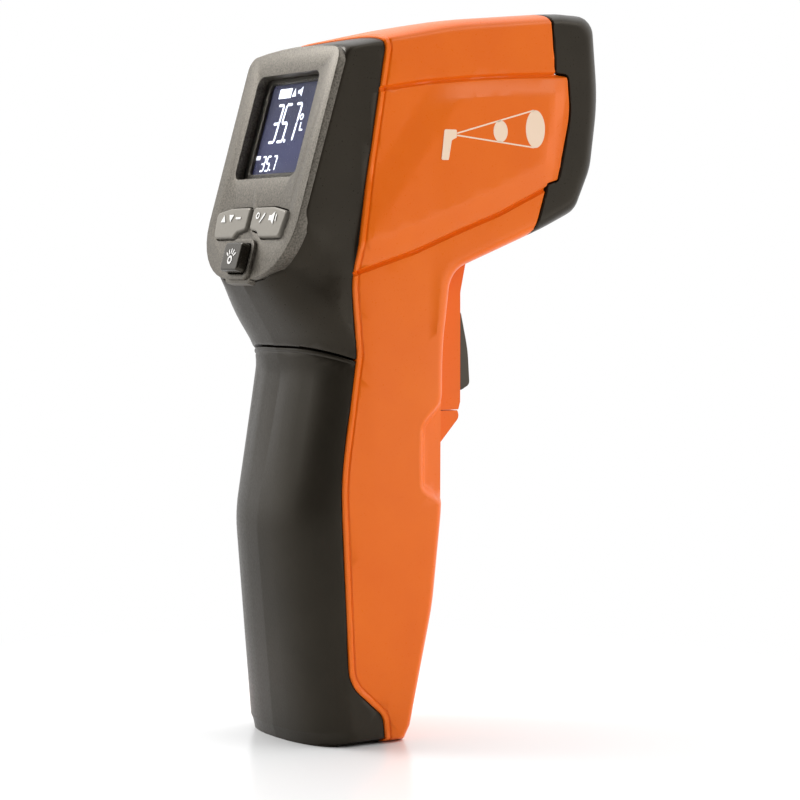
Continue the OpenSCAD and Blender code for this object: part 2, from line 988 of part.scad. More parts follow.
module battery_snap() {
    top = battery_low + battery_height + terminal_height;
    middle_x = battery_front - battery_thickness / 2;
    color("#1c1c1e")
        limits(middle_x - snap_half, middle_x + snap_half,
            -battery_width / 2 + 0.6, battery_width / 2 - 0.6, top, top + 2.4);
}

module battery_leads() {
    top = battery_low + battery_height + terminal_height + 1.2;
    start_x = battery_front - battery_thickness / 2 - snap_half - lead_r / 2;
    end = face_point(board_low + 6, board_depth + board_thickness);
    for (side = [-1, 1])
        let (y = side * lead_spacing / 2)
        color(side > 0 ? "#b02020" : "#202020")
            tube(rounded_path([
                [start_x, y, top], [start_x - 2, y, top + 0.5], [start_x - 3, y, top + 6],
                [start_x - 1, y, 84 * sz], [end[0] + 3.5, y, 96 * sz], [end[0] + 2, y, end[1]],
                [end[0], y, end[1]]
            ]), lead_r, 8, [0, 1, 0]);
}

// Liner that the battery stands in, held between the two casings.
module battery_tray() {
    back = battery_front - battery_thickness - 0.3;
    color("#26241f")
        intersection() {
            union() {
                limits(back - tray_wall, back, -handle_half, handle_half, battery_low - tray_wall,
                    battery_low + battery_height);
                limits(back - tray_wall, battery_front - 2, -battery_width / 2, battery_width / 2,
                    battery_low - tray_wall, battery_low);
            }
            handle_solid(wall + rear_step);
        }
}

module door_hinge_pin() {
    color("#c0c0c4")
        rod_y(hinge_x, hinge_z, hinge_pin_r, -hinge_reach + 0.1, hinge_reach - 0.1);
}

module door_bump(inset) {
    across([
        [front_line - 4, door_top - inset], [block_front - inset, door_top - inset],
        [block_front - inset, door_top - 1 - inset], [front_line + 0.5 - inset, bump_low + inset],
        [front_line - 4, bump_low + inset]
    ], block_half - inset);
}

module battery_door() {
    color(orange)
        difference() {
            union() {
                intersection() {
                    difference() {
                        handle_solid(0);
                        handle_solid(door_thickness);
                    }
                    door_band(door_half);
                }
                intersection() {
                    handle_solid(0);
                    difference() {
                        door_band(door_half);
                        door_band(door_half - door_flange);
                    }
                }
                door_bump(0);
                rod_y(hinge_x, hinge_z, knuckle_r, -door_half, door_half);
            }
            door_bump(1.6);
            rod_y(hinge_x, hinge_z, hinge_pin_r + pin_play, -opening_half, opening_half);
        }
}

// Slab in which the door's front and flanges lie, reaching further back beside the hinge.
module door_band(half) {
    limits(battery_front + 0.8, far_x, -half, half, hinge_z, door_top);
    limits(hinge_x + 1, far_x, -half, half, hinge_z, battery_low - tray_wall - 0.4);
}

// ---- Screws ----

module casing_screws() {
    color("#a8a8ac")
        for (p = screw_places) {
            x = p[0] * sx;
            z = p[1] * sz;
            rod_y(x, z, screw_d / 2 - 0.03, screw_grip - screw_length, screw_grip);
            difference() {
                rod_y(x, z, screw_head_r, screw_grip, screw_grip + screw_head_height);
                translate([x - 1.4, screw_grip + screw_head_height - 0.8, z - 0.3])
                    cube([2.8, past, 0.6]);
                translate([x - 0.3, screw_grip + screw_head_height - 0.8, z - 1.4])
                    cube([0.6, past, 2.8]);
            }
        }
}

right_casing();
left_casing();
rear_housing();
rear_grip();
nose_cap();
display_bezel();
display_window();
display_panel();
display_backlight();
contact_strip();
left_button();
right_button();
laser_button();
button_mat();
main_board();
processor();
buzzer();
sensor_barrel();
infrared_lens();
thermopile_sensor();
sensor_board();
sensor_ribbon();
laser_module();
laser_window();
trigger();
trigger_pin();
trigger_spring();
trigger_switch();
switch_leads();
battery();
battery_snap();
battery_leads();
battery_tray();
battery_door();
door_hinge_pin();
casing_screws();
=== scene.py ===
"""Looks of the infrared thermometer, built round its CAD frame.

Lengths are written in millimetres and made metres by MM. +X is where the
thermometer aims, +Y its left side and +Z up; it stands on z = 0.
"""

import math

import bmesh
import bpy
from mathutils import Matrix, Vector


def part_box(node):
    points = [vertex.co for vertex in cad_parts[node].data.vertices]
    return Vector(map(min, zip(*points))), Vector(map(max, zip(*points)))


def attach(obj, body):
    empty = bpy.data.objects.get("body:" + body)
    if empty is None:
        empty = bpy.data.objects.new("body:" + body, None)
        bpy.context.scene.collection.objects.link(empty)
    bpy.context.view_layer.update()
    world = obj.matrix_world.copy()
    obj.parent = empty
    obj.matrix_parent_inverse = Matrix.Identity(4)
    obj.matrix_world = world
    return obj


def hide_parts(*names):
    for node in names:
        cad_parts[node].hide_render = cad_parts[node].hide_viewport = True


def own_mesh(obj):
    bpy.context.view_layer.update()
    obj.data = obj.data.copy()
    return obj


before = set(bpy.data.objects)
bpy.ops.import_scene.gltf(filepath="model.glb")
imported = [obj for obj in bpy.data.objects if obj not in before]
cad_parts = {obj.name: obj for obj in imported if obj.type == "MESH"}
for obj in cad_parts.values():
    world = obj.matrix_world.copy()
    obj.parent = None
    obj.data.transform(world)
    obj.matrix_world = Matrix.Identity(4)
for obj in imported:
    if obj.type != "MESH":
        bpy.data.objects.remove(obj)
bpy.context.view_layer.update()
MM = 0.001

# ---- Sizes read from the frame ----


def node_box(name):
    """Lowest and highest corner of a CAD node in millimetres."""
    low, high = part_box(name)
    return Vector(low) / MM, Vector(high) / MM


casing_low, casing_high = node_box("right_casing")
housing_low, housing_high = node_box("rear_housing")
grip_low, grip_high = node_box("rear_grip")
door_low, door_high = node_box("battery_door")

PANEL_RISE = 0.9
FLANK = -casing_low.y - PANEL_RISE
BLACK_STEP = FLANK - housing_high.y
HANDLE_HALF = grip_high.y + BLACK_STEP
DOOR_HALF = door_high.y
DOOR_TOP = door_high.z
DOOR_GAP = 0.3
DOOR_TOP_GAP = 0.4
DOOR_REAR = 7.0
DOOR_WALL = 1.9
HINGE = (10.2, 5.3)
FOOT_LIP = 1.2
WALL = 1.8
RIM = 0.28
RIM_DROP = 0.2
NOSE_GAP = 0.4
NECK_GAP = 0.5
RIDGE = 1.3
TOP_CHAMFER = 3.4
FRONT_CHAMFER = 3.6
LOW_CHAMFER = 4.6
REAR_SLOPE = 7
BLOCK_HALF = 9.4
BLOCK_LOW = 70.9
BLOCK_FRONT = 29.95
SCREW_BORE = 2.18
SCREWS = [(10, 146), (35, 149.5), (40, 115.6), (8, 92), (3.8, 9.5)]
TRIGGER_PIVOT = (25, 91.2)
FACE_TILT = math.radians(16.4)
FACE_FOOT = Vector((-21.5, 0, 100))
BEZEL_HALF = 19.3
BEZEL_CORNER = 13.0
BEZEL_TOP = 52.3
KEY_GAP = 0.3
RING_ANGLES = [0, 12, 24, 35, 45, 54, 62, 69, 75, 80, 84, 87, 90]
FLANK_CELL = 2.4

# ---- Outlines in X and Z, each corner as (x, z, radius) ----

# Silhouette on the plane of symmetry, then the edge of the flat flank, corner for corner.
MIDDLE = [
    (-11.9, -0.9, 0.8), (-13.4, 2.6, 2), (-17.6, 48.5, 35), (-11, 83, 14), (-21.6, 100.2, 2.5),
    (-17.8, 113.4, 8), (-6.9, 150, 3), (22, 156.6, 120), (54, 160, 40), (62.3, 160, 3.5),
    (64.5, 140, 50), (62, 124, 16), (57.2, 114.2, 4), (23.2, 101.2, 6), (22.3, 88, 25),
    (22, 50, 60), (19.6, 29, 60), (13.4, 2.8, 2), (11.9, -0.9, 0.8),
]
SIDE = [
    (-2, 1.4, 0.8), (-3.6, 3.4, 2), (-6.4, 48.5, 35), (-2, 86, 8), (-12, 104, 5), (-15.2, 114, 6),
    (-4.6, 148, 4), (22, 152.9, 120), (51, 156.2, 20), (56.6, 156, 4), (57.6, 140, 50), (56, 126, 14),
    (52.6, 117.6, 5), (17.4, 102.9, 7), (16.8, 88, 25), (16.6, 50, 60), (14.2, 29, 60), (8.6, 3.4, 2),
    (7, 1.4, 0.8),
]
REAR_SEAM = [
    (4, -1, 0.5), (3.4, 6, 4), (-5.2, 13.5, 8), (-7.2, 57, 60), (-3.2, 84, 4), (-4.6, 99, 18),
    (0.2, 128, 160), (3.8, 149, 1.5), (2, 157, 0.5),
]
NOSE_SEAM = [
    (45.6, 170, 0.5), (47.5, 155, 4), (48.3, 145.4, 0.5), (51.7, 145.0, 0.8), (52.5, 137, 20),
    (49.1, 122, 0.8), (46.2, 121.2, 0.5), (40.8, 104, 0.5),
]
NECK_SEAM = [(-30, 85.4), (-12, 85.4), (0, 82), (30, 82)]
UPPER_GROOVE = [(0, 139.8), (13.7, 142.2), (27.8, 143.8), (35.2, 144.4), (52, 145.4)]
LOWER_GROOVE = [
    (-6, 100.4), (-2.8, 101.5), (11.4, 105.9), (21.2, 109.8), (33.2, 114.2), (45.7, 119.9), (52, 122.8),
]
PANEL_TOP = [(-2, 138.9), (13.7, 141.3), (27.8, 142.9), (35.2, 143.5), (52, 144.4), (60, 144.9)]
PANEL_FRONT = [(51.4, 150), (51, 139), (50, 134), (48, 124), (44.9, 110)]
PANEL_LOW = [
    (-6, 101.6), (-2.8, 102.7), (11.4, 107.1), (21.2, 111), (33.2, 115.4), (45.7, 121.1), (60, 127.6),
]
PANEL_REAR = [(-9.5, 97), (-0.4, 109.1), (21.7, 138.5), (31, 151)]
SCALLOP = [(40, 75.4, 1), (19.6, 75.4, 3), (12.4, 69, 5), (12.4, 54, 3), (17.4, 51, 2), (40, 51, 1)]


def arc(before, here, after, radius, steps):
    """Points of the arc that rounds one corner."""
    u = (before - here).normalized()
    v = (after - here).normalized()
    half = u.angle(v) / 2
    middle = u + v
    if middle.length < 1e-5:
        return [here.copy() for _ in range(steps + 1)]
    reach = radius / math.tan(half)
    centre = here + middle.normalized() * radius / math.sin(half)
    first = here + u * reach
    last = here + v * reach
    chords = [first.lerp(last, k / steps) for k in range(steps + 1)]
    return [centre + (chord - centre).normalized() * radius for chord in chords]


def flat(point):
    return Vector((point[0], point[1]))


def rounded(points, steps=6):
    """Arcs of a closed outline, one list of points for each corner."""
    count = len(points)
    return [
        arc(flat(points[i - 1]), flat(points[i]), flat(points[(i + 1) % count]), points[i][2], steps)
        for i in range(count)
    ]


def rounded_line(points, steps=5):
    """An open line with rounded corners and sharp ends."""
    line = [flat(points[0])]
    for i in range(1, len(points) - 1):
        line += arc(flat(points[i - 1]), flat(points[i]), flat(points[i + 1]), points[i][2], steps)
    return line + [flat(points[-1])]


def matched(first, second, spacing=3.0):
    """Two outlines with the same number of points, their straight runs split alike."""
    out = ([], [])
    arcs = (rounded(first), rounded(second))
    count = len(first)
    for i in range(count):
        runs = [(a[i][-1], a[(i + 1) % count][0]) for a in arcs]
        cuts = max(1, round(max((end - start).length for start, end in runs) / spacing))
        for k in range(2):
            out[k].extend(arcs[k][i])
            start, end = runs[k]
            out[k].extend(start.lerp(end, j / cuts) for j in range(1, cuts))
    return out


def offset(line, distance):
    """The line moved to its left by a distance."""
    moved = []
    for i, point in enumerate(line):
        before = line[max(i - 1, 0)]
        after = line[min(i + 1, len(line) - 1)]
        along = (after - before).normalized()
        moved.append(point + Vector((-along.y, along.x)) * distance)
    return moved


def from_line(line, x, z):
    """Distance of a point to a line, positive on the line's left."""
    best = 1e9
    sign = 1
    here = Vector((x, z))
    for a, b in zip(line, line[1:]):
        along = b - a
        length = along.length
        if length < 1e-6:
            continue
        t = max(0.0, min(1.0, (here - a).dot(along) / length**2))
        away = here - (a + along * t)
        if away.length < best:
            best = away.length
            sign = 1 if along.x * away.y - along.y * away.x > 0 else -1
    return best * sign


def x_on(line, z):
    """X of a line that only rises, at height z."""
    for a, b in zip(line, line[1:]):
        if a.y <= z <= b.y and b.y > a.y:
            return a.x + (b.x - a.x) * (z - a.y) / (b.y - a.y)
    return line[0].x if z < line[0].y else line[-1].x


def z_on(line, x):
    """Height of a line that runs forward, at x."""
    for a, b in zip(line, line[1:]):
        if a.x <= x <= b.x:
            return a.y + (b.y - a.y) * (x - a.x) / (b.x - a.x)
    return line[-1].y


def clamp(value):
    return max(0.0, min(1.0, value))


def smooth(value):
    value = clamp(value)
    return value * value * (3 - 2 * value)


def face_coordinates(point):
    """A point in millimetres as (across, up, depth) in the frame of the display face."""
    d = point - FACE_FOOT
    up = d.x * math.sin(FACE_TILT) + d.z * math.cos(FACE_TILT)
    depth = d.x * math.cos(FACE_TILT) - d.z * math.sin(FACE_TILT)
    return -d.y, up, depth


# Turns a shape drawn with x to the right, y up the face and z outward into its place.
ON_FACE = (
    Matrix.Translation(FACE_FOOT)
    @ Matrix.Rotation(FACE_TILT, 4, "Y")
    @ Matrix.Rotation(math.radians(-90), 4, "Z")
    @ Matrix.Rotation(math.radians(90), 4, "X")
)
FACE_OUT = Vector((-math.cos(FACE_TILT), 0, math.sin(FACE_TILT)))

rear_seam = rounded_line(REAR_SEAM)
nose_seam = list(reversed(rounded_line(NOSE_SEAM)))
neck_seam, upper_groove, lower_groove, panel_top, panel_front, panel_low, panel_rear = (
    [flat(p) for p in line]
    for line in (NECK_SEAM, UPPER_GROOVE, LOWER_GROOVE, PANEL_TOP, PANEL_FRONT, PANEL_LOW, PANEL_REAR)
)
scallop_line = rounded_line(SCALLOP)


# ---- Materials ----


def fill(node, values):
    """Sets several inputs of a shader node."""
    for socket, value in values.items():
        node.inputs[socket].default_value = value


class Paint:
    """A small helper that builds one procedural material."""

    def __init__(self, name):
        self.material = bpy.data.materials.new(name)
        self.material.use_nodes = True
        self.tree = self.material.node_tree
        self.tree.nodes.clear()
        self.shader = self.add("ShaderNodeBsdfPrincipled")
        output = self.add("ShaderNodeOutputMaterial")
        self.join(self.shader, "BSDF", output, "Surface")
        self.place = self.add("ShaderNodeTexCoord")

    def add(self, kind, **settings):
        node = self.tree.nodes.new(kind)
        for key, value in settings.items():
            setattr(node, key, value)
        return node

    def join(self, a, a_socket, b, b_socket):
        self.tree.links.new(a.outputs[a_socket], b.inputs[b_socket])

    def noise(self, size_mm, detail=2.0):
        node = self.add("ShaderNodeTexNoise")
        fill(node, {"Scale": 1 / (size_mm * MM), "Detail": detail})
        self.join(self.place, "Object", node, "Vector")
        return node

    def ramp(self, source, low, high, at_low=0.35, at_high=0.65):
        node = self.add("ShaderNodeValToRGB")
        node.color_ramp.elements[0].position = at_low
        node.color_ramp.elements[0].color = (*low, 1)
        node.color_ramp.elements[1].position = at_high
        node.color_ramp.elements[1].color = (*high, 1)
        self.join(source, "Fac", node, "Fac")
        return node

    def spread(self, source, low, high):
        node = self.add("ShaderNodeMapRange")
        fill(node, {"From Min": 0.3, "From Max": 0.7, "To Min": low, "To Max": high})
        self.join(source, "Fac", node, "Value")
        return node

    def colour(self, source):
        self.join(source, "Color", self.shader, "Base Color")

    def roughness(self, source, low, high):
        self.join(self.spread(source, low, high), "Result", self.shader, "Roughness")

    def bump(self, source, depth_mm, strength=0.6):
        node = self.add("ShaderNodeBump")
        fill(node, {"Distance": depth_mm * MM, "Strength": strength})
        self.join(source, "Fac", node, "Height")
        self.join(node, "Normal", self.shader, "Normal")


def plastic(name, low, high, rough, grain_mm=0.22, grain_depth=0.02, blotch_mm=14, specular=0.5):
    """Moulded plastic: colour drifts slowly, the roughness and the grain are fine."""
    paint = Paint(name)
    colour = paint.ramp(paint.noise(blotch_mm, 3.0), low, high, 0.2, 0.8)
    paint.colour(colour)
    grain = paint.noise(grain_mm, 2.0)
    paint.roughness(grain, rough - 0.06, rough + 0.06)
    paint.bump(grain, grain_depth)
    fill(paint.shader, {"Specular IOR Level": specular, "Specular Tint": (1.0, 0.9, 0.74, 1)})
    return paint.material


def metal(name, low, high, rough, grain_mm=0.5):
    """Machined metal with faint streaks."""
    paint = Paint(name)
    streaks = paint.noise(grain_mm, 4.0)
    paint.colour(paint.ramp(streaks, low, high))
    paint.roughness(streaks, rough - 0.08, rough + 0.1)
    paint.bump(streaks, 0.01)
    fill(paint.shader, {"Metallic": 1.0})
    return paint.material


def flake_plastic(name):
    """Champagne-grey paint with fine metal flakes, for the bezel."""
    paint = Paint(name)
    flakes = paint.noise(0.38, 2.0)
    colour = paint.ramp(flakes, (0.05, 0.043, 0.033), (0.19, 0.17, 0.14), 0.25, 0.75)
    paint.colour(colour)
    paint.roughness(flakes, 0.36, 0.56)
    paint.bump(flakes, 0.012, 0.5)
    fill(paint.shader, {"Metallic": 0.6})
    return paint.material


def glow(name, low, high, strength):
    """Lit display surface that fades a little from one side to the other."""
    paint = Paint(name)
    drift = paint.ramp(paint.noise(22, 1.0), low, high, 0.3, 0.7)
    paint.join(drift, "Color", paint.shader, "Emission Color")
    paint.colour(drift)
    fill(paint.shader, {"Emission Strength": strength, "Roughness": 0.4, "Specular IOR Level": 0.1})
    return paint.material


def clear(name, tint, rough=0.03):
    """Clear moulded lens or window, with faint wiping marks."""
    paint = Paint(name)
    marks = paint.noise(3.0, 3.0)
    paint.roughness(marks, rough, rough + 0.05)
    colour = paint.ramp(marks, tint, tuple(min(1, c * 1.04) for c in tint))
    paint.colour(colour)
    fill(paint.shader, {"Transmission Weight": 1.0, "IOR": 1.1})
    return paint.material


def board_laminate(name):
    """Green circuit board with a faint pattern of tracks."""
    paint = Paint(name)
    tracks = paint.add("ShaderNodeTexBrick")
    fill(tracks, {
        "Scale": 1 / (6 * MM),
        "Color1": (0.012, 0.09, 0.035, 1),
        "Color2": (0.015, 0.12, 0.045, 1),
        "Mortar": (0.05, 0.2, 0.08, 1),
    })
    paint.join(paint.place, "Object", tracks, "Vector")
    paint.colour(tracks)
    paint.roughness(paint.noise(1.5), 0.3, 0.45)
    paint.bump(paint.noise(0.4), 0.01)
    return paint.material


orange_paint = plastic(
    "Orange Shell Plastic", (0.83, 0.136, 0.002), (0.88, 0.160, 0.003), 0.33, 0.4, 0.008, specular=0.35
)
black_paint = plastic(
    "Black Shell Plastic", (0.017, 0.0135, 0.0095), (0.026, 0.021, 0.015), 0.33, 0.45, 0.012, specular=0.25
)
grip_paint = plastic(
    "Grip Plastic", (0.014, 0.0115, 0.008), (0.024, 0.0195, 0.014), 0.35, 0.5, 0.02, specular=0.25
)
bezel_paint = flake_plastic("Bezel Flake Plastic")
reveal_paint = plastic("Window Reveal Black", (0.012, 0.011, 0.009), (0.017, 0.0155, 0.013), 0.5)
key_paint = plastic("Grey Key Rubber", (0.20, 0.185, 0.16), (0.24, 0.222, 0.193), 0.4, 0.7, 0.012)
dark_key_paint = plastic("Dark Key Gloss", (0.010, 0.008, 0.006), (0.014, 0.012, 0.009), 0.24, 0.5, 0.004)
trigger_paint = plastic("Trigger Plastic", (0.030, 0.026, 0.019), (0.040, 0.035, 0.026), 0.45)
white_ink = plastic("White Ink", (0.80, 0.79, 0.77), (0.86, 0.85, 0.83), 0.5, 0.3, 0.003)
cream_ink = plastic("Cream Ink", (0.93, 0.70, 0.52), (0.97, 0.76, 0.58), 0.5, 0.3, 0.003)
display_paint = glow("Display Field", (0.022, 0.023, 0.036), (0.040, 0.043, 0.10), 0.6)
segment_paint = glow("Display Segments", (0.80, 0.84, 1.0), (0.92, 0.94, 1.0), 0.95)
backlight_paint = plastic("Backlight Diffuser", (0.75, 0.78, 0.82), (0.82, 0.84, 0.88), 0.6)
rubber_paint = plastic("Contact Rubber", (0.02, 0.02, 0.022), (0.03, 0.03, 0.033), 0.7)
silicone_paint = plastic("Silicone Mat", (0.48, 0.46, 0.43), (0.56, 0.54, 0.50), 0.6)
chip_paint = plastic("Chip Epoxy", (0.010, 0.010, 0.011), (0.018, 0.018, 0.019), 0.5, 0.15, 0.01)
board_paint = board_laminate("Circuit Board Green")
barrel_paint = plastic("Barrel Black", (0.014, 0.014, 0.015), (0.022, 0.022, 0.024), 0.4)
lens_paint = plastic("Infrared Lens", (0.05, 0.055, 0.065), (0.08, 0.085, 0.095), 0.22, 1.2, 0.004)
laser_glass = clear("Laser Window Glass", (0.90, 0.92, 0.95))
window_glass = clear("Display Window Clear", (0.97, 0.98, 0.99))
steel = metal("Turned Steel", (0.50, 0.50, 0.50), (0.62, 0.62, 0.62), 0.32)
brass = metal("Turned Brass", (0.60, 0.43, 0.16), (0.72, 0.53, 0.22), 0.3)
flex_paint = plastic("Flexible Print", (0.40, 0.17, 0.04), (0.50, 0.23, 0.06), 0.35, 0.8, 0.01)
red_lead = plastic("Battery Lead Insulation", (0.22, 0.012, 0.012), (0.30, 0.02, 0.02), 0.4, 0.6, 0.01)
grey_lead = plastic("Switch Lead Insulation", (0.03, 0.03, 0.035), (0.05, 0.05, 0.055), 0.4, 0.6, 0.01)
battery_paint = plastic("Battery Sleeve", (0.03, 0.045, 0.075), (0.045, 0.065, 0.10), 0.33, 1.0, 0.01)


# ---- Making and finishing pieces ----


def once(things):
    """Each thing once, in the order it first came, so that every run cuts alike."""
    return list(dict.fromkeys(things))


def edges_of(faces):
    return once(edge for face in faces for edge in face.edges)


def edges_of_verts(verts):
    return once(edge for v in verts for edge in v.link_edges)


def with_borders(faces):
    """Faces together with their edges and corners, as the cutting operators want them."""
    return faces + edges_of(faces) + once(v for f in faces for v in f.verts)


def beyond(face, low_x, high_x, low_z, high_z):
    """Whether a face lies wholly outside a rectangle in X and Z."""
    xs = [v.co.x for v in face.verts]
    zs = [v.co.z for v in face.verts]
    return max(zs) < low_z or min(zs) > high_z or max(xs) < low_x or min(xs) > high_x


def score(bm, line):
    """Cuts the mesh along a line in X and Z, right through the width."""
    zs = [p.y for p in line]
    xs = [p.x for p in line]
    near = [face for face in bm.faces if not beyond(face, min(xs), max(xs), min(zs), max(zs))]
    for a, b in zip(line, line[1:]):
        along = b - a
        if along.length < 1e-4:
            continue
        hit = []
        rest = []
        for face in near:
            apart = beyond(face, min(a.x, b.x), max(a.x, b.x), min(a.y, b.y), max(a.y, b.y))
            (rest if apart else hit).append(face)
        if not hit:
            continue
        normal = Vector((-along.y, 0, along.x)).normalized()
        made = bmesh.ops.bisect_plane(
            bm, geom=with_borders(hit), dist=1e-4, plane_co=(a.x, 0, a.y), plane_no=normal
        )
        near = rest + [g for g in made["geom"] if isinstance(g, bmesh.types.BMFace)]


def cut_plane(bm, faces, point, normal, drop=False):
    """Cuts faces with a plane, and drops what lies beyond it when asked."""
    bmesh.ops.bisect_plane(
        bm, geom=with_borders(faces), dist=1e-4, plane_co=point, plane_no=normal, clear_outer=drop
    )


def keep_faces(bm, wanted):
    """Deletes the faces whose middle the test doesn't want."""
    unwanted = [f for f in bm.faces if not wanted(f.calc_center_median())]
    bmesh.ops.delete(bm, geom=unwanted, context="FACES")
    loose = [v for v in bm.verts if not v.link_faces]
    bmesh.ops.delete(bm, geom=loose, context="VERTS")


def away(bm, v):
    """Outward direction of the smooth skin at a vertex, kept from before the seams were cut."""
    return v[bm.verts.layers.float_vector["outward"]].normalized()


def lower_rims(bm, distance):
    """Presses the open edges of a skin in a little, which rounds a seam over."""
    rims = {v for e in bm.edges if e.is_boundary for v in e.verts}
    for v in rims:
        drop = distance if abs(v.co.y) > 0.01 else distance / 2
        v.co -= away(bm, v) * drop


def lower_skin(bm, distance):
    """Moves an open skin inward by a distance."""
    for v in bm.verts:
        v.co -= away(bm, v) * distance


def thicken(bm, wall):
    """Gives an open skin an inner side and edges, one wall thickness deep."""
    made = bmesh.ops.extrude_face_region(bm, geom=list(bm.faces))
    outer = {g for g in made["geom"] if isinstance(g, bmesh.types.BMVert)}
    for v in bm.verts:
        if v not in outer:
            v.co -= away(bm, v) * wall
    bmesh.ops.recalc_face_normals(bm, faces=bm.faces)


def placed(name, data):
    """A new Blender object in the scene."""
    thing = bpy.data.objects.new(name, data)
    bpy.context.scene.collection.objects.link(thing)
    return thing


def with_modifiers(thing):
    """A mesh of the object with its modifiers applied."""
    return bpy.data.meshes.new_from_object(thing.evaluated_get(bpy.context.evaluated_depsgraph_get()))


def finish(bm, name, body, paint, stands_for=(), wall=0.0, edge=0.0, crease=38):
    """Makes a piece of a bmesh drawn in millimetres: wall thickness, rounded edges, paint and body."""
    if wall:
        bmesh.ops.remove_doubles(bm, verts=bm.verts, dist=0.02)
        thicken(bm, wall)
    bmesh.ops.scale(bm, vec=(MM, MM, MM), verts=bm.verts)
    rough = bpy.data.meshes.new(name + "_rough")
    bm.to_mesh(rough)
    bm.free()
    piece = placed(name, rough)
    if edge:
        bevel = piece.modifiers.new("Edge", "BEVEL")
        bevel.width = edge * MM
        bevel.segments = 2
        bevel.limit_method = "ANGLE"
        bevel.angle_limit = math.radians(crease)
    made = with_modifiers(piece)
    piece.modifiers.clear()
    piece.data = made
    made.name = name
    made.shade_smooth()
    made.set_sharp_from_angle(angle=math.radians(crease))
    made.materials.clear()
    made.materials.append(paint)
    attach(piece, body)
    if stands_for:
        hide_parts(*stands_for)
    return piece


def reopened(shell):
    """A finished shell as a bmesh in millimetres again, so that more can be cut from it or joined on."""
    whole = bmesh.new()
    whole.from_mesh(shell.data)
    bmesh.ops.scale(whole, vec=(1 / MM,) * 3, verts=whole.verts)
    bpy.data.objects.remove(shell)
    return whole


def prism(outline, low, high, place=Matrix.Identity(4)):
    """A straight solid over a flat outline drawn in X and Y, from one height to another."""
    bm = bmesh.new()
    verts = [bm.verts.new((p[0], p[1], low)) for p in outline]
    base = bm.faces.new(verts)
    made = bmesh.ops.extrude_face_region(bm, geom=[base])
    top = [g for g in made["geom"] if isinstance(g, bmesh.types.BMVert)]
    bmesh.ops.translate(bm, vec=(0, 0, high - low), verts=top)
    bmesh.ops.recalc_face_normals(bm, faces=bm.faces)
    bmesh.ops.transform(bm, matrix=place, verts=bm.verts)
    return bm


def joined(parts):
    """Several bmeshes as one."""
    whole = bmesh.new()
    for part in parts:
        mesh = bpy.data.meshes.new("part")
        part.to_mesh(mesh)
        part.free()
        whole.from_mesh(mesh)
        bpy.data.meshes.remove(mesh)
    return whole


def without(solid, cutters):
    """A solid bmesh less other solid bmeshes."""
    pair = []
    for name, bm in (("solid", solid), ("cutters", joined(cutters))):
        mesh = bpy.data.meshes.new(name)
        bm.to_mesh(mesh)
        bm.free()
        pair.append(placed(name, mesh))
    cut = pair[0].modifiers.new("Cut", "BOOLEAN")
    cut.operation = "DIFFERENCE"
    cut.solver = "EXACT"
    cut.use_self = True
    cut.object = pair[1]
    result = bmesh.new()
    result.from_mesh(with_modifiers(pair[0]))
    for thing in pair:
        bpy.data.objects.remove(thing)
    return result


def closed(corners, steps=6):
    """Closed outline with rounded corners as one list of points."""
    return [p for group in rounded(corners, steps) for p in group]


def ring(count):
    """Angles of evenly spaced points on a circle."""
    return [2 * math.pi * k / count for k in range(count)]


def circle(radius, count=32, centre=(0, 0)):
    """Outline of a circle."""
    return [(centre[0] + radius * math.cos(a), centre[1] + radius * math.sin(a)) for a in ring(count)]


def mirrored(corners):
    """The same outline on the other side of x = 0."""
    return [(-c[0], *c[1:]) for c in reversed(corners)]


# ---- The whole skin of the body ----


def roundness(x, z):
    """How boxy the section is: the head more than the handle and the nose."""
    return 2.3 + 1.2 * smooth((z - 80) / 26) - 0.9 * smooth((x - 46) / 12)


def half_width(z):
    return HANDLE_HALF + (FLANK - HANDLE_HALF) * smooth((z - 80) / 24)


def skin_point(m, s, angle):
    """Point of the skin between the silhouette and the edge of the flank."""
    power = 2 / roundness(m.x, m.y)
    turn = math.sin(abs(angle))
    rest = max(math.cos(angle), 0.0)
    blend = 1 - rest**power
    y = math.copysign(half_width(m.y) * turn**power, angle)
    p = m.lerp(s, blend)
    return Vector((p.x, y, p.y))


def bezel_width(up):
    """Half width of the bezel's lower end, which narrows in a quarter of an ellipse."""
    if up >= BEZEL_CORNER:
        return BEZEL_HALF
    t = (BEZEL_CORNER - max(up, 0)) / BEZEL_CORNER
    return BEZEL_HALF - (BEZEL_HALF - 4.5) * (1 - math.sqrt(max(1 - t * t, 0)))


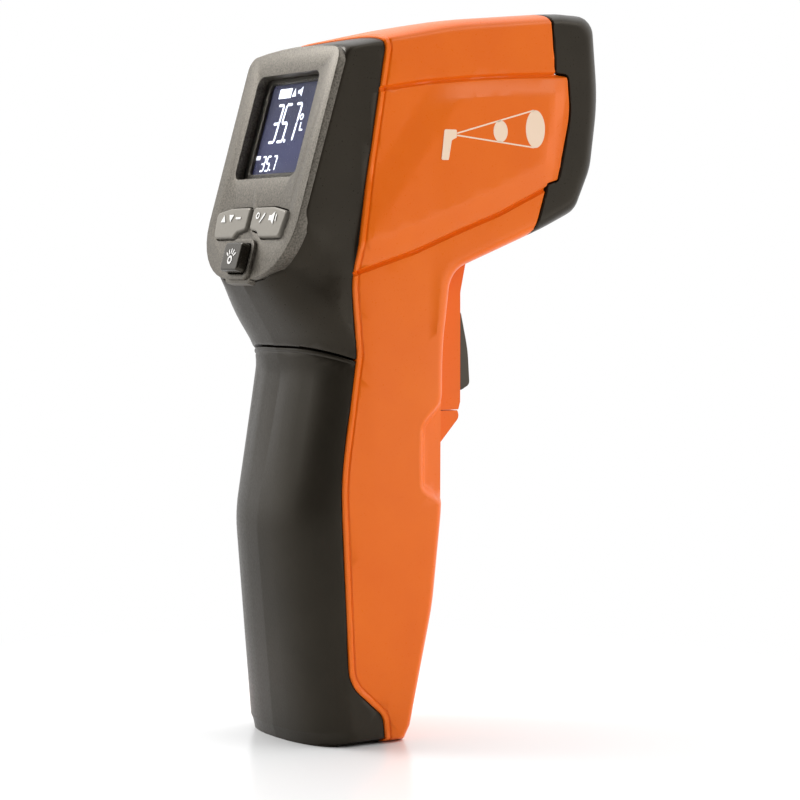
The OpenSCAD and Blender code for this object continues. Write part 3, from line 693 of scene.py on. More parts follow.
def build_skin():
    """The outer skin of the whole body, with every seam and groove line cut into it."""
    middle, side = matched(MIDDLE, SIDE)
    count = len(middle)
    angles = [-a for a in reversed(RING_ANGLES[1:])] + RING_ANGLES
    rows = len(angles) - 1
    bm = bmesh.new()
    bmesh.ops.create_grid(bm, x_segments=count, y_segments=rows, size=0.5)
    for v in bm.verts:
        i = round((v.co.x + 0.5) * count) % count
        angle = math.radians(angles[round((v.co.y + 0.5) * rows)])
        v.co = skin_point(middle[i], side[i], angle)
    bmesh.ops.remove_doubles(bm, verts=bm.verts, dist=1e-4)
    rims = [e for e in bm.edges if e.is_boundary]
    bmesh.ops.edgeloop_fill(bm, edges=[e for e in rims if e.verts[0].co.y < 0])
    bmesh.ops.edgeloop_fill(bm, edges=[e for e in rims if e.verts[0].co.y > 0])
    bmesh.ops.recalc_face_normals(bm, faces=bm.faces)
    flanks = [f for f in bm.faces if len(f.verts) > 8]
    grid_flanks(bm, flanks)
    # The foot is flat.
    cut_plane(bm, [f for f in bm.faces if f.calc_center_median().z < 6], (0, 0, 0), (0, 0, -1), drop=True)
    bmesh.ops.edgeloop_fill(bm, edges=[e for e in bm.edges if e.is_boundary])
    round_under_bezel(bm)
    bm.normal_update()
    outward = bm.verts.layers.float_vector.new("outward")
    for v in bm.verts:
        v[outward] = v.normal
    for line in scored_lines():
        score(bm, line)
    for y in (-0.35, 0, 0.35):
        cut_plane(bm, list(bm.faces), (0, y, 0), (0, 1, 0))
    for side in (-1, 1):
        for half in (DOOR_HALF - RIM, DOOR_HALF, DOOR_HALF + DOOR_GAP, DOOR_HALF + DOOR_GAP + RIM):
            front = [f for f in bm.faces if f.calc_center_median().x > 5 and f.calc_center_median().z < 80]
            cut_plane(bm, front, (0, side * half, 0), (0, 1, 0))
    for half in (-BLOCK_HALF + WALL, BLOCK_HALF - WALL):
        front = [f for f in bm.faces if f.calc_center_median().x > 14 and 60 < f.calc_center_median().z < 110]
        cut_plane(bm, front, (0, half, 0), (0, 1, 0))
    emboss(bm)
    return bm


def grid_flanks(bm, flanks):
    """Splits the two flat flanks into small cells."""
    geom = with_borders(flanks)
    lines = [(Vector((x * FLANK_CELL, 0, 0)), Vector((1, 0, 0))) for x in range(-7, 26)]
    lines += [(Vector((0, 0, z * FLANK_CELL)), Vector((0, 0, 1))) for z in range(1, 66)]
    for point, normal in lines:
        made = bmesh.ops.bisect_plane(bm, geom=geom, dist=1e-4, plane_co=point, plane_no=normal)
        geom = made["geom"]


def round_under_bezel(bm):
    """Draws the skin in below the bezel, so that it follows the bezel's rounded lower end."""
    for v in bm.verts:
        if v.co.z < 84 or v.co.x > 4:
            continue
        across, up, depth = face_coordinates(v.co)
        ratio = (max(bezel_width(up), 14.6) + 0.3) / (BEZEL_HALF + 0.3)
        fade = smooth(1 - depth / 15) * smooth((up + 12) / 13)
        v.co.y *= 1 - (1 - ratio) * fade


def scored_lines():
    """Every line that a seam, a groove or the raised panel needs."""
    lines = [rear_seam, nose_seam, offset(nose_seam, -NOSE_GAP)]
    lines += [offset(rear_seam, d) for d in (-RIM, RIM)]
    lines += [offset(nose_seam, d) for d in (RIM, -NOSE_GAP - RIM)]
    lines += [offset(neck_seam, d) for d in (RIM, -NECK_GAP - RIM)]
    lines += [offset(rear_seam, -d) for d in (RIDGE - 0.3, RIDGE, RIDGE + 0.3)]
    for line, half in ((upper_groove, 0.65), (lower_groove, 0.55)):
        lines += [offset(line, d * half) for d in (-1, -0.5, 0, 0.5, 1)]
    lines += [offset(panel_top, d) for d in (0, -TOP_CHAMFER)]
    lines += [offset(panel_front, d) for d in (0, -FRONT_CHAMFER)]
    lines += [offset(panel_low, d) for d in (0, LOW_CHAMFER)]
    lines += [offset(panel_rear, d) for d in (0, REAR_SLOPE)]
    lines += [neck_seam, offset(neck_seam, -NECK_GAP)]
    lines += [offset(neck_seam, -d) for d in (1.0, 1.3, 1.6)]
    lines += [offset(scallop_line, d) for d in (0, 0.7, 1.4, 2.2, 3)]
    gap_top = DOOR_TOP + DOOR_TOP_GAP
    heights = (BLOCK_LOW + WALL, DOOR_TOP - RIM, DOOR_TOP, gap_top, gap_top + RIM, door_low.z, FOOT_LIP)
    lines += [[Vector((5, z)), Vector((30, z))] for z in heights]
    return lines


def groove(distance, half, depth):
    """Depth of a round-bottomed groove at a distance from its line."""
    t = abs(distance) / half
    return depth * (1 - t * t) if t < 1 else 0.0


def panel_height(x, z):
    """Height of the raised side panel, which fades into the flank at its rear."""
    top = clamp(-from_line(panel_top, x, z) / TOP_CHAMFER)
    front = clamp(-from_line(panel_front, x, z) / FRONT_CHAMFER)
    low = clamp(from_line(panel_low, x, z) / LOW_CHAMFER)
    rear = clamp(1 - from_line(panel_rear, x, z) / REAR_SLOPE)
    return PANEL_RISE * min(top, front, low) * rear


def in_front_of_seam(x, z):
    return x > x_on(rear_seam, z)


def emboss(bm):
    """Presses the grooves, the raised panel, the flutes and the finger scallops into the skin."""
    moves = []
    for v in bm.verts:
        x, y, z = v.co
        out = away(bm, v)
        height = 0.0
        if in_front_of_seam(x, z) or abs(from_line(rear_seam, x, z)) < 1e-3:
            if x < 8:
                height -= groove(from_line(rear_seam, x, z) + RIDGE, half=0.32, depth=0.28)
            if 95 < z < 150 and abs(y) > 12 and x < x_on(nose_seam, z) + 0.01:
                height -= groove(from_line(upper_groove, x, z), half=0.66, depth=0.7)
                height -= groove(from_line(lower_groove, x, z), half=0.56, depth=0.75)
                if abs(out.y) > 0.9:
                    height += panel_height(x, z)
        elif 70 < z < 84.6:
            height -= groove(from_line(neck_seam, x, z) + RIDGE, half=0.32, depth=0.22)
        if z < 83 and out.x < -0.3 and not in_front_of_seam(x, z):
            fade = smooth((z - 46) / 26) * smooth((83.5 - z) / 6) * smooth((14 - abs(y)) / 6)
            height -= 0.42 * math.cos(2 * math.pi * y / 10.5) * fade
        moves.append((v, out * height))
    for v, move in moves:
        v.co += move
    for v in bm.verts:
        press_scallop(v)


def press_scallop(v):
    """Moves a point of the casing's front edge down to the floor of the finger scallop."""
    if v.co.x < 12 or not 50.5 < v.co.z < 76:
        return
    inside = from_line(scallop_line, v.co.x, v.co.z)
    if inside <= 0:
        return
    floor = 17.6 - 1.6 * clamp((v.co.x - 13.5) / 7.5)
    if abs(v.co.y) > floor:
        v.co.y += (math.copysign(floor, v.co.y) - v.co.y) * smooth(inside / 3)


# ---- Shells cut from the skin ----


def in_door(p, gap=0.0):
    return p.x > DOOR_REAR and abs(p.y) < DOOR_HALF + gap and door_low.z - 4 * gap < p.z < DOOR_TOP + gap


def in_foot_opening(p):
    return p.x > DOOR_REAR and abs(p.y) < DOOR_HALF + DOOR_GAP and FOOT_LIP < p.z < door_low.z + 0.01


def in_block_opening(p):
    return p.x > 14 and abs(p.y) < BLOCK_HALF - WALL and BLOCK_LOW + WALL < p.z < 101


def is_orange(p):
    return in_front_of_seam(p.x, p.z) and p.x < x_on(nose_seam, p.z)


def in_door_opening(p):
    across = abs(p.y) < DOOR_HALF + DOOR_GAP
    return p.x > DOOR_REAR and across and door_low.z < p.z < DOOR_TOP + DOOR_TOP_GAP


def casing_skin(skin, side):
    """The orange skin on one side, open at the door, the foot and the trigger."""
    bm = skin.copy()
    openings = (in_door_opening, in_foot_opening, in_block_opening)
    keep_faces(bm, lambda p: is_orange(p) and p.y * side > 0 and not any(test(p) for test in openings))
    return bm


BLOCK_OUTLINE = [
    (16, BLOCK_LOW, 0.4), (BLOCK_FRONT - 0.5, BLOCK_LOW, 0.3), (BLOCK_FRONT, 72.6, 2), (BLOCK_FRONT, 97, 4),
    (31.6, 104.6, 1), (16, 104.6, 0.4),
]
ALONG_Y = Matrix.Rotation(math.radians(90), 4, "X")


def trigger_block(side):
    """Half of the block round the trigger: a hollow box with the slot cut in its front."""
    outer = prism(closed(BLOCK_OUTLINE, 4), -BLOCK_HALF, BLOCK_HALF, ALONG_Y)
    floor, front = BLOCK_LOW + WALL, BLOCK_FRONT - WALL
    hollow = [(10, floor), (front, floor), (front, 110), (10, 110)]
    inner = prism(hollow, WALL - BLOCK_HALF, BLOCK_HALF - WALL, ALONG_Y)
    slot = prism([(24, 73), (40, 73), (40, 93.6), (24, 93.6)], -5.8, 5.8, ALONG_Y)
    other = prism([(-50, -50), (80, -50), (80, 180), (-50, 180)], -40, 0, ALONG_Y)
    if side > 0:
        bmesh.ops.translate(other, vec=(0, -40, 0), verts=other.verts)
    return without(outer, [inner, slot, other])


def screw_boss(x, z):
    """Tube that a casing screw's head sits in, from the flank down to its seat."""
    bm = bmesh.new()
    outer = SCREW_BORE + 0.8
    profile = [
        (SCREW_BORE, -5.0), (SCREW_BORE, -18.6), (outer, -18.6), (outer, -4.2), (1.25, -4.2), (1.25, -5.0),
    ]
    verts = [bm.verts.new((r, 0, -y)) for r, y in profile]
    loop = [bm.edges.new((verts[i], verts[(i + 1) % len(verts)])) for i in range(len(verts))]
    bmesh.ops.spin(
        bm, geom=verts + loop, cent=(0, 0, 0), axis=(0, 0, 1), angle=2 * math.pi, steps=32, use_merge=True
    )
    bmesh.ops.recalc_face_normals(bm, faces=bm.faces)
    place = Matrix.Translation((x, 0, z)) @ Matrix.Rotation(math.radians(-90), 4, "X")
    bmesh.ops.transform(bm, matrix=place, verts=bm.verts)
    return bm


def make_casings(skin):
    for side, name in ((-1, "right_casing"), (1, "left_casing")):
        bm = casing_skin(skin, side)
        lower_rims(bm, RIM_DROP)
        shell = finish(bm, name + "_shell", "body", orange_paint, wall=WALL)
        whole = reopened(shell)
        parts = [whole]
        if side > 0:
            bmesh.ops.triangulate(whole, faces=whole.faces)
            bores = [
                prism(circle(SCREW_BORE), -30, -10, Matrix.Translation((x, 0, z)) @ ALONG_Y)
                for x, z in SCREWS
            ]
            parts = [without(whole, bores)] + [screw_boss(x, z) for x, z in SCREWS]
        parts.append(trigger_block(side))
        finish(joined(parts), name + "_skin", "body", orange_paint, (name,), crease=32)


def make_rear_housing(skin):
    bm = skin.copy()
    keep_faces(bm, lambda p: not in_front_of_seam(p.x, p.z) and p.z > z_on(neck_seam, p.x))
    lower_skin(bm, BLACK_STEP)
    rear = [f for f in bm.faces if face_coordinates(f.calc_center_median())[1] > -4]
    cut_plane(bm, rear, FACE_FOOT - FACE_OUT * 1.3, FACE_OUT, drop=True)
    lower_rims(bm, RIM_DROP)
    finish(bm, "rear_housing_shell", "body", black_paint, ("rear_housing",), wall=WALL)


def make_rear_grip(skin):
    bm = skin.copy()
    keep_faces(bm, lambda p: not in_front_of_seam(p.x, p.z) and p.z < z_on(neck_seam, p.x) - NECK_GAP)
    for v in bm.verts:
        if v.co.z > 0.01:
            v.co -= away(bm, v) * BLACK_STEP
    lower_rims(bm, RIM_DROP)
    for v in bm.verts:
        v.co.z = max(v.co.z, 0)
    finish(bm, "rear_grip_shell", "body", grip_paint, ("rear_grip",), wall=WALL)


def disc_prism(z, radius, front, back):
    """Round cutter that points forward along X, at height z."""
    place = Matrix.Translation((0, 0, z)) @ Matrix.Rotation(math.radians(90), 4, "Y")
    return prism(circle(radius, 64), front, back, place)


def make_nose_cap(skin):
    bm = skin.copy()
    gap_line = offset(nose_seam, -NOSE_GAP)
    keep_faces(bm, lambda p: p.x > x_on(gap_line, p.z))
    lower_rims(bm, RIM_DROP)
    whole = reopened(finish(bm, "nose_shell", "body", black_paint, wall=WALL))
    bmesh.ops.triangulate(whole, faces=whole.faces)
    barrel_low, barrel_high = node_box("sensor_barrel")
    window_low, window_high = node_box("laser_window")
    lens_low, lens_high = node_box("infrared_lens")
    bores = [
        disc_prism((lens_low.z + lens_high.z) / 2, (barrel_high.y - barrel_low.y) / 2 + 0.1, 51, 80),
        disc_prism((window_low.z + window_high.z) / 2, 2.4, 51, 80),
    ]
    cut = without(whole, bores)
    finish(cut, "nose_cap_shell", "body", black_paint, ("nose_cap",), crease=32)


# ---- Display end ----

KEY_RIGHT = [
    (0.8, 15.8, 0.9), (9.06, 15.8, 2.5), (15.1, 14.8, 1.1), (14.1, 9, 1.2),
    (5.75, 9, 0.8), (4.15, 10.3, 0.8), (0.8, 10.9, 0.9),
]
LASER_KEY = [(-3.75, 1.1, 0.8), (3.75, 1.1, 0.8), (3.75, 7.4, 0.8), (-3.75, 7.4, 0.8)]
WINDOW = [(-13, 22.6, 2), (13, 22.6, 2), (13, 46.2, 2), (-13, 46.2, 2)]


def grown(corners, d):
    """An outline moved outward by d at every corner."""
    points = [flat(c) for c in corners]
    count = len(points)
    area = sum(points[i - 1].x * points[i].y - points[i].x * points[i - 1].y for i in range(count))
    side = 1 if area > 0 else -1
    out = []
    for i in range(count):
        a = (points[i] - points[i - 1]).normalized()
        b = (points[(i + 1) % count] - points[i]).normalized()
        na = Vector((a.y, -a.x)) * side
        nb = Vector((b.y, -b.x)) * side
        mitre = (na + nb) / (1 + na.dot(nb))
        moved = points[i] + mitre * d
        out.append((moved.x, moved.y, max(corners[i][2] + d, 0.1)))
    return out


def bezel_outline():
    """Half ellipse and tab at the foot, straight sides, and a top that arches a little."""
    right = [(4.4, -0.95), (5.4, -0.2)]
    right += [(bezel_width(up), up) for up in (0.02, 0.35, 0.9, 1.8, 3.0, 4.5, 6.3, 8.3, 10.5, 13.0)]
    corner = arc(Vector((BEZEL_HALF, 30)), Vector((BEZEL_HALF, 51)), Vector((0, 52.6)), radius=3.2, steps=6)
    right += [tuple(p) for p in corner]
    right += [(12, 51.75), (6, 52.15)]
    left = [(-x, y) for x, y in reversed(right)]
    return right + [(0, BEZEL_TOP)] + left


def rim_bevel(bm, test, width, segments=1):
    """Bevels the edges whose middle passes the test."""
    picked = [e for e in bm.edges if test(e)]
    bmesh.ops.bevel(
        bm, geom=picked, offset=width, segments=segments, profile=0.5, material=-1, affect="EDGES",
        offset_type="OFFSET", clamp_overlap=True,
    )


def on_face(bm):
    """Puts a shape drawn flat into its place on the display face."""
    bmesh.ops.transform(bm, matrix=ON_FACE, verts=bm.verts)
    return bm


def make_bezel():
    plate = prism(bezel_outline(), -3, -0.02)
    rim_bevel(plate, lambda e: all(v.co.z > -0.5 for v in e.verts) and e.calc_face_angle(0) > 1, 0.5)
    cutters = [
        prism(closed(WINDOW), -2.2, 4),
        prism(closed(grown(WINDOW, 1.4)), -6, -2.2),
    ]
    keys = (KEY_RIGHT, mirrored(KEY_RIGHT), LASER_KEY)
    cutters += [prism(closed(grown(corners, KEY_GAP)), -6, 4) for corners in keys]
    body = without(plate, cutters)
    laser_opening = prism(closed(grown(LASER_KEY, KEY_GAP)), -6, 4)
    collar = without(prism(closed(grown(LASER_KEY, 1.3)), -0.4, 0.8), [laser_opening])
    whole = on_face(joined([body, collar]))
    finish(
        whole, "display_bezel_plate", "body", bezel_paint, ("display_bezel",), edge=0.2, crease=30
    )


def make_window_reveal():
    """Dark frame behind the bezel that leads down to the lit field."""
    frame_solid = prism(closed(grown(WINDOW, 0.8)), -3.38, -2.25)
    opening = prism(closed([(-10.7, 24.4, 1), (11.6, 24.4, 1), (11.6, 45, 1), (-10.7, 45, 1)]), -6, 0)
    bm = on_face(without(frame_solid, [opening]))
    finish(bm, "window_reveal", "body", reveal_paint, edge=0.15, crease=30)


def key_cap(corners, top, edge):
    """A key whose top edges are rounded in a few steps."""
    steps = 4
    bm = prism(closed(corners, 4), -5, top - edge)
    face = max((f for f in bm.faces if f.normal.z > 0.9), key=lambda f: f.calc_area())
    for k in range(1, steps + 1):
        a = math.pi / 2 * k / steps
        inset = edge * (math.sin(a) - math.sin(a - math.pi / 2 / steps))
        rise = edge * (math.cos(a - math.pi / 2 / steps) - math.cos(a))
        bmesh.ops.inset_region(bm, faces=[face], thickness=rise, depth=inset)
    bmesh.ops.inset_region(bm, faces=[face], thickness=0.12, depth=0)
    return bm


def make_key(name, corners, top, edge, paint):
    """One key, with the flange that holds it behind the bezel."""
    flange = prism(closed(grown(corners, 0.6)), -4.4, -3.1)
    whole = on_face(joined([key_cap(corners, top, edge), flange]))
    finish(whole, name + "_key_cap", name + "_key", paint, (name + "_button",), crease=35)


def make_keys():
    make_key("right", KEY_RIGHT, 0.75, 0.45, key_paint)
    make_key("left", mirrored(KEY_RIGHT), 0.75, 0.45, key_paint)
    make_key("laser", LASER_KEY, 2.9, 0.5, dark_key_paint)


def bar(a, b, width, low, high):
    """A thin straight bar from a to b with pointed ends, as a prism."""
    a, b = Vector(a), Vector(b)
    along = (b - a).normalized()
    across = Vector((-along.y, along.x)) * width / 2
    tip = along * width / 2
    return prism([a, a + tip + across, b - tip + across, b, b - tip - across, a + tip - across], low, high)


def oval(x, y, rx, ry, low, high, steps=40):
    return prism([(x + rx * math.cos(a), y + ry * math.sin(a)) for a in ring(steps)], low, high)


def hoop(x, y, outer, inner, low, high):
    """A flat round ring."""
    return without(oval(x, y, outer, outer, low, high), [oval(x, y, inner, inner, low - 1, high + 1)])


SEGMENTS = {"3": "abcdg", "5": "acdfg", "7": "abc"}


def digit(figure, x, y, w, h, stroke, slant, low, high):
    """A seven-segment figure whose foot is at x, y."""
    def at(u, v):
        return (x + u * w + slant * v * h, y + v * h)

    ends = {
        "a": (at(0, 1), at(1, 1)), "b": (at(1, 1), at(1, 0.5)), "c": (at(1, 0.5), at(1, 0)),
        "d": (at(0, 0), at(1, 0)), "e": (at(0, 0.5), at(0, 0)), "f": (at(0, 1), at(0, 0.5)),
        "g": (at(0, 0.5), at(1, 0.5)),
    }
    return [bar(*ends[s], stroke, low, high) for s in SEGMENTS[figure]]


def make_display():
    """The reading on the lit field, which lies just above the CAD panel."""
    low, high = -3.38, -3.30
    parts = []
    slant = 0.09
    for k, figure in enumerate("357"):
        # The last figure stands a little further off, behind the decimal point.
        past_point = 1 if k == 2 else 0
        parts += digit(figure, -7.3 + 3.6 * k + 0.5 * past_point, 31.9, 2.3, 8.4, 0.62, slant, low, high)
        parts += digit(figure, -8.0 + 2.2 * k + 0.4 * past_point, 25.4, 1.35, 3.2, 0.42, slant, low, high)
    parts.append(oval(-0.4, 32.0, 0.4, 0.4, low, high))
    parts.append(oval(-3.6, 25.5, 0.22, 0.22, low, high))
    parts.append(hoop(4.6, 37.2, 0.75, 0.4, low, high))
    parts += [bar((4.9, 34.2), (4.9, 36), 0.4, low, high), bar((4.7, 34.2), (6.2, 34.2), 0.4, low, high)]
    icons = (
        [(-7.6, 41.9), (-2.4, 41.9), (-2.4, 44.1), (-7.6, 44.1)],
        [(-1.9, 42.1), (-0.3, 42.1), (-1.1, 44)],
        [(0.4, 42.7), (1.2, 42.7), (2.1, 42), (2.1, 44.2), (1.2, 43.5), (0.4, 43.5)],
        [(-10.8, 28.0), (-9.0, 28.0), (-9.0, 28.9), (-10.8, 28.9)],
    )
    parts += [prism(icon, low, high) for icon in icons]
    reading = on_face(joined(parts))
    finish(reading, "display_reading", "body", segment_paint)


def make_key_marks():
    """Plain white pictograms on the keys."""
    low, high = 0.86, 0.92
    up_down = [
        prism([(-12.2, 12.6), (-10.2, 12.6), (-11.2, 14.2)], low, high),
        prism([(-9.0, 14.2), (-8.0, 12.6), (-7.0, 14.2)], low, high),
        bar((-6.0, 13.4), (-3.6, 13.4), 0.5, low, high),
    ]
    sound = [
        prism([(8.6, 12.7), (9.5, 12.7), (10.7, 11.8), (10.7, 14.6), (9.5, 13.8), (8.6, 13.8)], low, high),
        bar((11.5, 12.4), (11.5, 14.1), 0.35, low, high),
        hoop(3.6, 13.8, 0.75, 0.42, low, high),
        bar((4.9, 12.2), (6.6, 14.4), 0.45, low, high),
    ]
    for name, parts in (("left", up_down), ("right", sound)):
        bm = on_face(joined(parts))
        finish(bm, name + "_key_mark", name + "_key", white_ink)
    low, high = 2.95, 3.0
    beam = [hoop(0, 3.4, 0.95, 0.5, low, high)]
    for turn in (-50, -25, 0, 25, 50):
        a = math.radians(90 + turn)
        way = Vector((math.cos(a), math.sin(a)))
        foot = Vector((0, 3.4))
        beam.append(bar(foot + way * 1.3, foot + way * 2.6, 0.34, low, high))
    finish(on_face(joined(beam)), "laser_key_mark", "laser_key", white_ink)


# ---- Side print, trigger and door ----


def make_side_print():
    """An unlabelled picture of how the measured spot widens with distance."""
    plane = -(FLANK + PANEL_RISE) + 0.01
    ink = 0.03
    instrument = [
        (18.0, 132.2, 0.4), (21.2, 132.2, 0.3), (21.2, 130.5, 0.3), (19.9, 129.9, 0.5),
        (19.1, 125.6, 0.3), (17.2, 125.6, 0.3),
    ]
    parts = [
        bar((21.2, 131.4), (41.8, 137.1), 0.32, 0, ink),
        bar((21.2, 131.0), (42.0, 128.9), 0.32, 0, ink),
        oval(32.8, 132.2, 1.9, 2.35, 0, ink),
        oval(42.2, 133.0, 2.6, 4.15, 0, ink),
        prism(closed(instrument, 4), 0, ink),
    ]
    bm = joined(parts)
    bmesh.ops.transform(bm, matrix=Matrix.Translation((0, plane, 0)) @ ALONG_Y, verts=bm.verts)
    finish(bm, "spot_picture", "body", cream_ink)


def make_trigger():
    outline = [
        (23.2, 92.9, 0.6), (32.7, 92.9, 1.2), (34.7, 84, 30), (35.2, 76.2, 1.2), (33, 75.0, 1.0),
        (28.4, 75.2, 0.6), (28, 87.4, 4), (23.2, 88.8, 0.6),
    ]
    half = node_box("trigger")[1].y

    def on_side_edge(e):
        a, b = (v.co for v in e.verts)
        return all(c.x > 28.6 and abs(c.y) > half - 0.01 for c in (a, b)) and abs(a.y - b.y) < 0.01

    bm = prism(closed(outline, 5), -half, half, ALONG_Y)
    rim_bevel(bm, on_side_edge, 0.9, 3)
    cutters = [prism(circle(1.26, centre=TRIGGER_PIVOT), -20, 20, ALONG_Y)]
    for z in (78.4, 80.4, 82.4):
        slot = [(36 - 1.55, z), (40, z), (40, z + 0.7), (36 - 1.55, z + 0.7)]
        cutters.append(prism(slot, -half + 1.8, half - 1.8, ALONG_Y))
    lever = without(bm, cutters)
    finish(lever, "trigger_lever", "trigger", trigger_paint, ("trigger",), crease=35)


def make_spring():
    """Coil behind the trigger, built at rest length; the real one is pressed together as the trigger is
    pulled.
    """
    low, high = node_box("trigger_spring")
    wire = 0.25
    coil = (high.y - low.y) / 2 - wire
    turns, steps = 4, 96
    bm = bmesh.new()
    made = bmesh.ops.create_circle(bm, segments=8, radius=wire)
    rim = made["verts"]
    bmesh.ops.rotate(bm, verts=rim, cent=(0, 0, 0), matrix=Matrix.Rotation(math.radians(90), 3, "X"))
    bmesh.ops.translate(bm, vec=(0, 0, coil), verts=rim)
    run = high.x - low.x - 2 * wire - 0.1
    bmesh.ops.spin(
        bm, geom=rim + edges_of_verts(rim), cent=(0, 0, 0), axis=(1, 0, 0), dvec=(run / steps, 0, 0),
        angle=2 * math.pi * turns, steps=steps, use_merge=False, use_duplicate=False,
    )
    bmesh.ops.edgeloop_fill(bm, edges=[e for e in bm.edges if e.is_boundary])
    bmesh.ops.recalc_face_normals(bm, faces=bm.faces)
    seat = Vector((low.x + wire, 0, (low.z + high.z) / 2))
    bmesh.ops.translate(bm, vec=seat, verts=bm.verts)
    piece = finish(bm, "trigger_coil", "body", steel, ("trigger_spring",), crease=60)
    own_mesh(piece)


def make_door(skin):
    bm = skin.copy()
    keep_faces(bm, in_door)
    lower_rims(bm, RIM_DROP)
    panel = reopened(finish(bm, "door_skin", "door", orange_paint, wall=DOOR_WALL))
    bump_outline = [
        (19, 70.72, 0.3), (29.2, 70.72, 0.3), (29.7, 69.2, 1.5), (22.6, 61.5, 0.6), (19, 61.5, 0.3),
    ]
    bump = prism(closed(bump_outline, 4), -BLOCK_HALF, BLOCK_HALF, ALONG_Y)
    knuckle = without(
        prism(circle(2.9, 40, HINGE), -DOOR_HALF, DOOR_HALF, ALONG_Y),
        [prism(circle(1.16, 32, HINGE), -40, 40, ALONG_Y)],
    )
    flange = [(9.5, 6.5), (12.2, 6.5), (17.2, 29), (19.8, 50), (20, 70.3), (17, 70.3), (16.6, 50), (14, 29)]
    flanges = [prism(flange, y, y + 1.4, ALONG_Y) for y in (-DOOR_HALF + 0.02, DOOR_HALF - 1.42)]
    whole = joined([panel, bump, knuckle] + flanges)
    finish(whole, "battery_door_shell", "door", orange_paint, ("battery_door",), crease=32)


# ---- Materials of the CAD nodes that stay ----

NODE_PAINTS = {
    "display_window": window_glass,
    "display_panel": display_paint,
    "display_backlight": backlight_paint,
    "contact_strip": rubber_paint,
    "button_mat": silicone_paint,
    "main_board": board_paint,
    "processor": chip_paint,
    "buzzer": chip_paint,
    "sensor_barrel": barrel_paint,
    "infrared_lens": lens_paint,
    "thermopile_sensor": steel,
    "sensor_board": board_paint,
    "sensor_ribbon": flex_paint,
    "laser_module": brass,
    "laser_window": laser_glass,
    "trigger_pin": steel,
    "trigger_switch": chip_paint,
    "switch_leads": grey_lead,
    "battery": battery_paint,
    "battery_snap": chip_paint,
    "battery_leads": red_lead,
    "battery_tray": barrel_paint,
    "door_hinge_pin": steel,
    "casing_screws": steel,
}


def paint_cad_nodes():
    for name, paint in NODE_PAINTS.items():
        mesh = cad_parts[name].data
        mesh.materials.clear()
        mesh.materials.append(paint)


# ---- Camera, floor and light ----

AZIMUTH = math.radians(33)
DIP = math.radians(3.016)
AHEAD = Vector((math.sin(AZIMUTH) * math.cos(DIP), math.cos(AZIMUTH) * math.cos(DIP), -math.sin(DIP)))


def look_from(thing, place, target):
    thing.location = place
    thing.rotation_euler = (Vector(target) - Vector(place)).to_track_quat("-Z", "Y").to_euler()


def make_camera():
    data = bpy.data.cameras.new("Camera")
    camera = placed("Camera", data)
    data.sensor_width = 36
    data.lens = 108.16
    place = Vector((-0.2731, -0.4514, 0.1012))
    look_from(camera, place, place + AHEAD)
    data.clip_start = 0.01
    data.clip_end = 50
    bpy.context.scene.camera = camera


def area_light(name, place, target, width, height, power):
    data = bpy.data.lights.new(name, "AREA")
    data.shape = "RECTANGLE"
    data.size = width
    data.size_y = height
    data.energy = power
    look_from(placed(name, data), place, target)


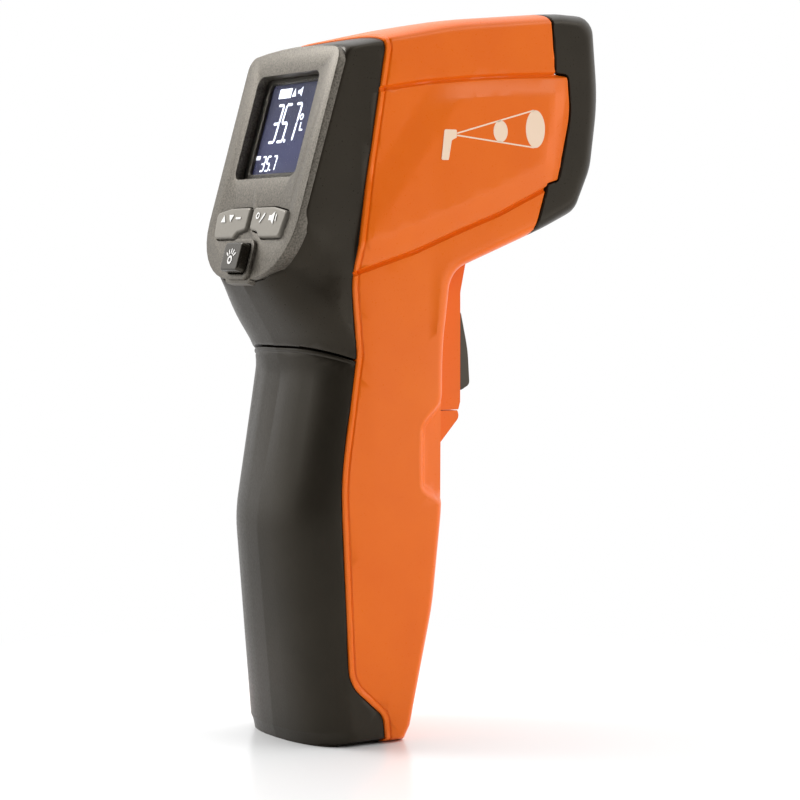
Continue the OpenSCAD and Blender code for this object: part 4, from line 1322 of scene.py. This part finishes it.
def light_room(tree):
    """White all round beyond the object, dark on the side that the object is seen from."""
    place = tree.nodes.new("ShaderNodeTexCoord")
    toward = tree.nodes.new("ShaderNodeVectorMath")
    toward.operation = "DOT_PRODUCT"
    toward.inputs[1].default_value = (*AHEAD,)
    both = tree.nodes.new("ShaderNodeMath")
    both.operation = "MULTIPLY"
    tree.links.new(place.outputs["Generated"], toward.inputs[0])
    # Rises from the dark side, then a brighter ring falls back to plain white dead ahead.
    for k, (start, end, low, high) in enumerate(((-0.55, 0.1, 0.03, 1.0), (0.3, 0.9, 2.0, 1.0))):
        step = tree.nodes.new("ShaderNodeMapRange")
        step.interpolation_type = "SMOOTHSTEP"
        fill(step, {"From Min": start, "From Max": end, "To Min": low, "To Max": high})
        tree.links.new(toward.outputs["Value"], step.inputs["Value"])
        tree.links.new(step.outputs["Result"], both.inputs[k])
    tree.links.new(both.outputs["Value"], tree.nodes["Background"].inputs["Strength"])
    tree.nodes["Background"].inputs["Color"].default_value = (1, 1, 1, 1)


def make_floor_paint():
    """Pale glossy floor that turns into plain white light away from the object."""
    paint = Paint("Pale Floor")
    fill(paint.shader, {"Base Color": (0.93, 0.93, 0.93, 1), "Roughness": 0.25})
    distance = paint.add("ShaderNodeVectorMath", operation="LENGTH")
    paint.join(paint.place, "Object", distance, "Vector")
    fade = paint.add("ShaderNodeMapRange", interpolation_type="SMOOTHSTEP")
    fill(fade, {"From Min": 0.03, "From Max": 0.16})
    paint.join(distance, "Value", fade, "Value")
    white = paint.add("ShaderNodeEmission")
    mix = paint.add("ShaderNodeMixShader")
    paint.join(fade, "Result", mix, "Fac")
    paint.tree.links.new(paint.shader.outputs["BSDF"], mix.inputs[1])
    paint.tree.links.new(white.outputs["Emission"], mix.inputs[2])
    output = next(n for n in paint.tree.nodes if n.bl_idname == "ShaderNodeOutputMaterial")
    paint.tree.links.new(mix.outputs["Shader"], output.inputs["Surface"])
    return paint.material


def make_studio():
    bm = bmesh.new()
    bmesh.ops.create_grid(bm, x_segments=1, y_segments=1, size=3.0)
    mesh = bpy.data.meshes.new("floor")
    bm.to_mesh(mesh)
    bm.free()
    floor = placed("floor", mesh)
    mesh.materials.append(make_floor_paint())
    world = bpy.data.worlds.new("Studio")
    bpy.context.scene.world = world
    world.use_nodes = True
    light_room(world.node_tree)
    middle = (0.02, 0, 0.09)
    area_light("key", (0.40, -0.58, 0.58), middle, 0.45, 0.35, 1.5)
    area_light("low_card", (0.31, -0.38, 0.02), middle, 0.34, 0.14, 0.22)
    area_light("rear_card", (-0.10, 0.10, 0.26), (-0.01, 0.01, 0.15), 0.08, 0.08, 0.30)
    bpy.context.scene.view_settings.view_transform = "Standard"


skin = build_skin()
make_casings(skin)
make_rear_housing(skin)
make_rear_grip(skin)
make_nose_cap(skin)
make_door(skin)
skin.free()
make_bezel()
make_window_reveal()
make_display()
make_keys()
make_key_marks()
make_side_print()
make_trigger()
make_spring()
paint_cad_nodes()
make_studio()
make_camera()
